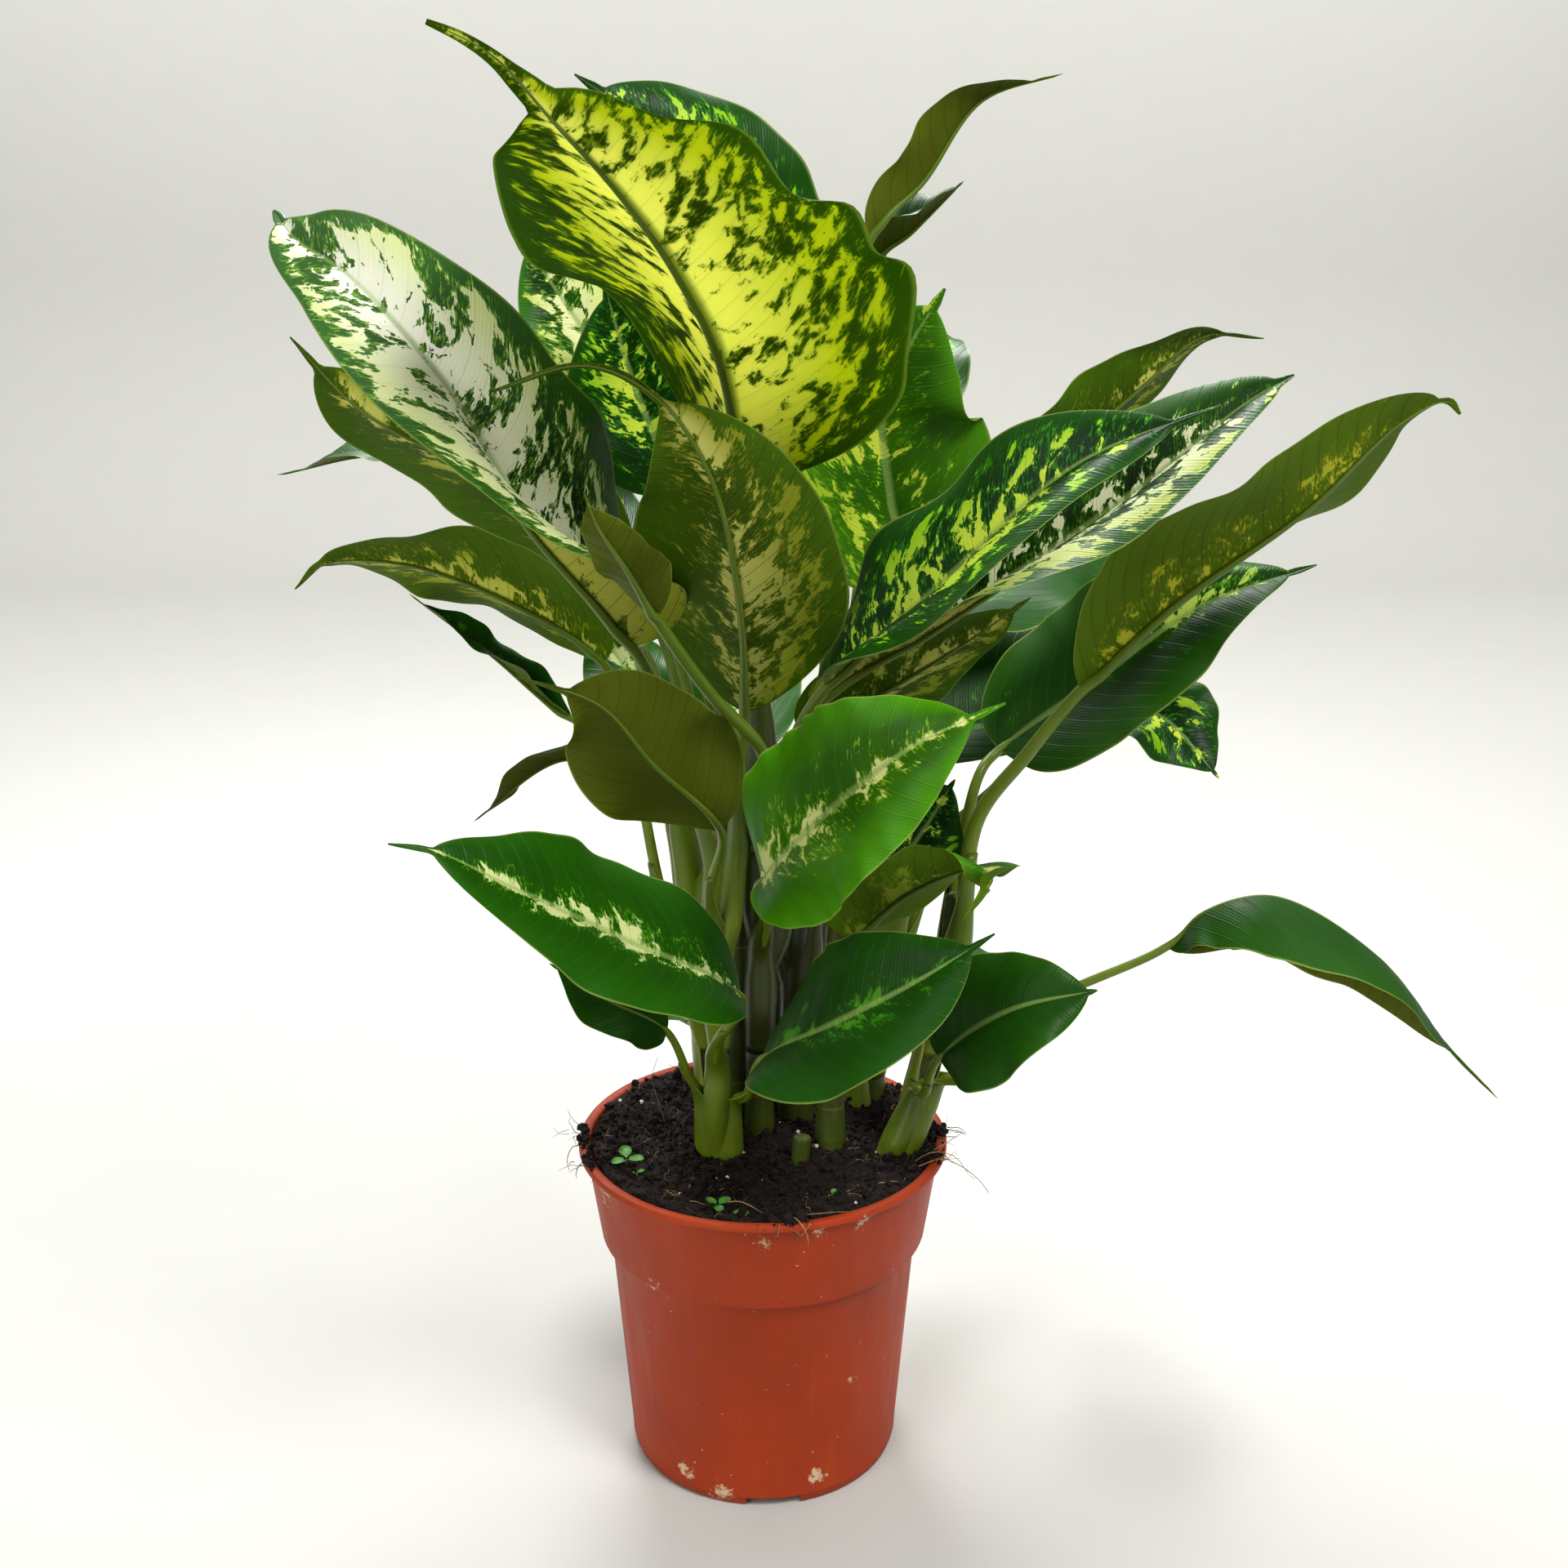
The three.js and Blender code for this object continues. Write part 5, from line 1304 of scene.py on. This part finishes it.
class PLANT_OT_set_stage(bpy.types.Operator):
    """Sets the pale floor and wall, the soft lights and the camera"""

    bl_idname = "plant.set_stage"
    bl_label = "Studio"

    CAMERA_PLACE = (0.0, -0.7644, 0.5514)
    CAMERA_TURN = (math.radians(73.46), 0.0, math.radians(-0.73))
    SENSOR = 36
    LENS = 2233 / 1920 * SENSOR
    PAPER_HALF_WIDTH = 5.0
    PAPER_LENGTH = 8.0
    PAPER_FRONT = -3.0
    WALL_PLACE = 2.8
    BEND = 0.5

    @staticmethod
    def light(context, name, place, target, size, power, colour):
        """A soft round lamp, its size in metres and its power in watts, that shines at a target."""
        data = bpy.data.lights.new(name, "AREA")
        data.shape = "DISK"
        data.size = size
        data.energy = power
        data.color = srgb(colour)[:3]
        made = bpy.data.objects.new(name, data)
        made.location = place
        made.rotation_euler = (Vector(target) - Vector(place)).to_track_quat("-Z", "Y").to_euler()
        context.scene.collection.objects.link(made)

    def execute(self, context):
        settings = context.scene.plant.stage
        bm = new_bmesh()

        def sweep(across, along):
            """Flat paper that turns up in a bend behind the plant and rises as the wall."""
            side = across * self.PAPER_HALF_WIDTH
            length = along * self.PAPER_LENGTH + self.PAPER_FRONT
            start = self.WALL_PLACE - self.BEND
            if length < start:
                return Vector((side, length, 0))
            turn = min((length - start) / self.BEND, math.pi / 2)
            rest = length - start - turn * self.BEND
            height = self.BEND * (1 - math.cos(turn)) + rest
            return Vector((side, start + self.BEND * math.sin(turn), height))

        grid(bm, 8, 96, sweep)
        mesh = bpy.data.meshes.new("studio_floor")
        bm.to_mesh(mesh)
        bm.free()
        material, tree = new_material("Matt studio paper")
        tone = grain(tree, object_place(tree), 1 / (60 * MM), 2.0)
        mottle = spread(tree, tone, 0.3, 0.7, 0.0, 0.25)
        colour = blended(tree, mottle, tuple(settings.floor_colour), "b4b4af")
        paper = add(tree, "BsdfPrincipled", {"Base Color": colour, "Roughness": 0.9})
        finish_material(tree, paper.outputs[0])
        mesh.materials.append(material)
        floor = bpy.data.objects.new("studio_floor", mesh)
        context.scene.collection.objects.link(floor)
        floor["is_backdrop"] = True

        key, back, fill = settings.key_power, settings.back_power, settings.fill_power
        self.light(context, "key_light", (0.8, -0.9, 1.7), (0, 0, 0.3), 0.7, key, "fffdfa")
        self.light(context, "back_light", (-0.15, 0.8, 1.4), (0, -0.05, 0.4), 0.6, back, "ffffff")
        self.light(context, "fill_light", (-0.9, -1.2, 0.9), (0, 0, 0.35), 1.0, fill, "fcfdff")
        for side, x in (("left", -1.2), ("right", 1.2)):
            place, target = (x, 1.3, 2.3), (x, self.WALL_PLACE, 0.9)
            self.light(context, f"wall_light_{side}", place, target, 1.8, settings.wall_power, "fffffc")
        world = context.scene.world or bpy.data.worlds.new("Studio")
        context.scene.world = world
        world.use_nodes = True
        background = world.node_tree.nodes["Background"]
        background.inputs["Color"].default_value = srgb("f8f8f4")
        background.inputs["Strength"].default_value = 0.33

        data = bpy.data.cameras.new("camera")
        data.sensor_width = self.SENSOR
        data.lens = self.LENS
        camera = bpy.data.objects.new("camera", data)
        camera.location = self.CAMERA_PLACE
        camera.rotation_euler = self.CAMERA_TURN
        context.scene.collection.objects.link(camera)
        context.scene.camera = camera
        context.scene.view_settings.view_transform = "Standard"
        return {"FINISHED"}


class PlantSettings(bpy.types.PropertyGroup):
    pot: PointerProperty(type=PotSettings, name="Pot", description="Sizes and colour of the pot")
    soil: PointerProperty(type=SoilSettings, name="Soil", description="What lies on the peat")
    shoots: PointerProperty(type=ShootSettings, name="Shoots", description="Detail of the shoots")
    leaves: PointerProperty(type=LeafSettings, name="Leaves", description="Form of the leaves")
    stage: PointerProperty(type=StageSettings, name="Studio", description="Floor and lights")


class PLANT_PT_panel(bpy.types.Panel):
    """Lists the steps that make the plant, with their sizes and colours"""

    bl_idname = "PLANT_PT_panel"
    bl_label = "Potted Dieffenbachia"
    bl_space_type = "VIEW_3D"
    bl_region_type = "UI"
    bl_category = "Plant"

    def draw(self, context):
        plant = context.scene.plant
        for operator, group in ((PLANT_OT_make_pot, plant.pot), (PLANT_OT_fill_soil, plant.soil),
                                (PLANT_OT_grow_shoots, plant.shoots), (PLANT_OT_grow_leaves, plant.leaves),
                                (PLANT_OT_set_stage, plant.stage)):
            box = self.layout.box()
            box.operator(operator.bl_idname)
            for name in group.__annotations__:
                box.prop(group, name)


CLASSES = (
    PotSettings, SoilSettings, ShootSettings, LeafSettings, StageSettings, PlantSettings,
    PLANT_OT_make_pot, PLANT_OT_fill_soil, PLANT_OT_grow_shoots, PLANT_OT_grow_leaves, PLANT_OT_set_stage,
    PLANT_PT_panel,
)


def register():
    for cls in CLASSES:
        bpy.utils.register_class(cls)
    bpy.types.Scene.plant = PointerProperty(type=PlantSettings)


def unregister():
    del bpy.types.Scene.plant
    for cls in reversed(CLASSES):
        bpy.utils.unregister_class(cls)


def main():
    register()
    bpy.ops.plant.set_stage()
    bpy.ops.plant.make_pot()
    bpy.ops.plant.fill_soil()
    bpy.ops.plant.grow_shoots()
    bpy.ops.plant.grow_leaves()
    boxes = {"cad": CAD_BOX, "visual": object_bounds()}
    {name: [list(corner) for corner in box] for name, box in boxes.items()}


if __name__ == "__main__":
    main()
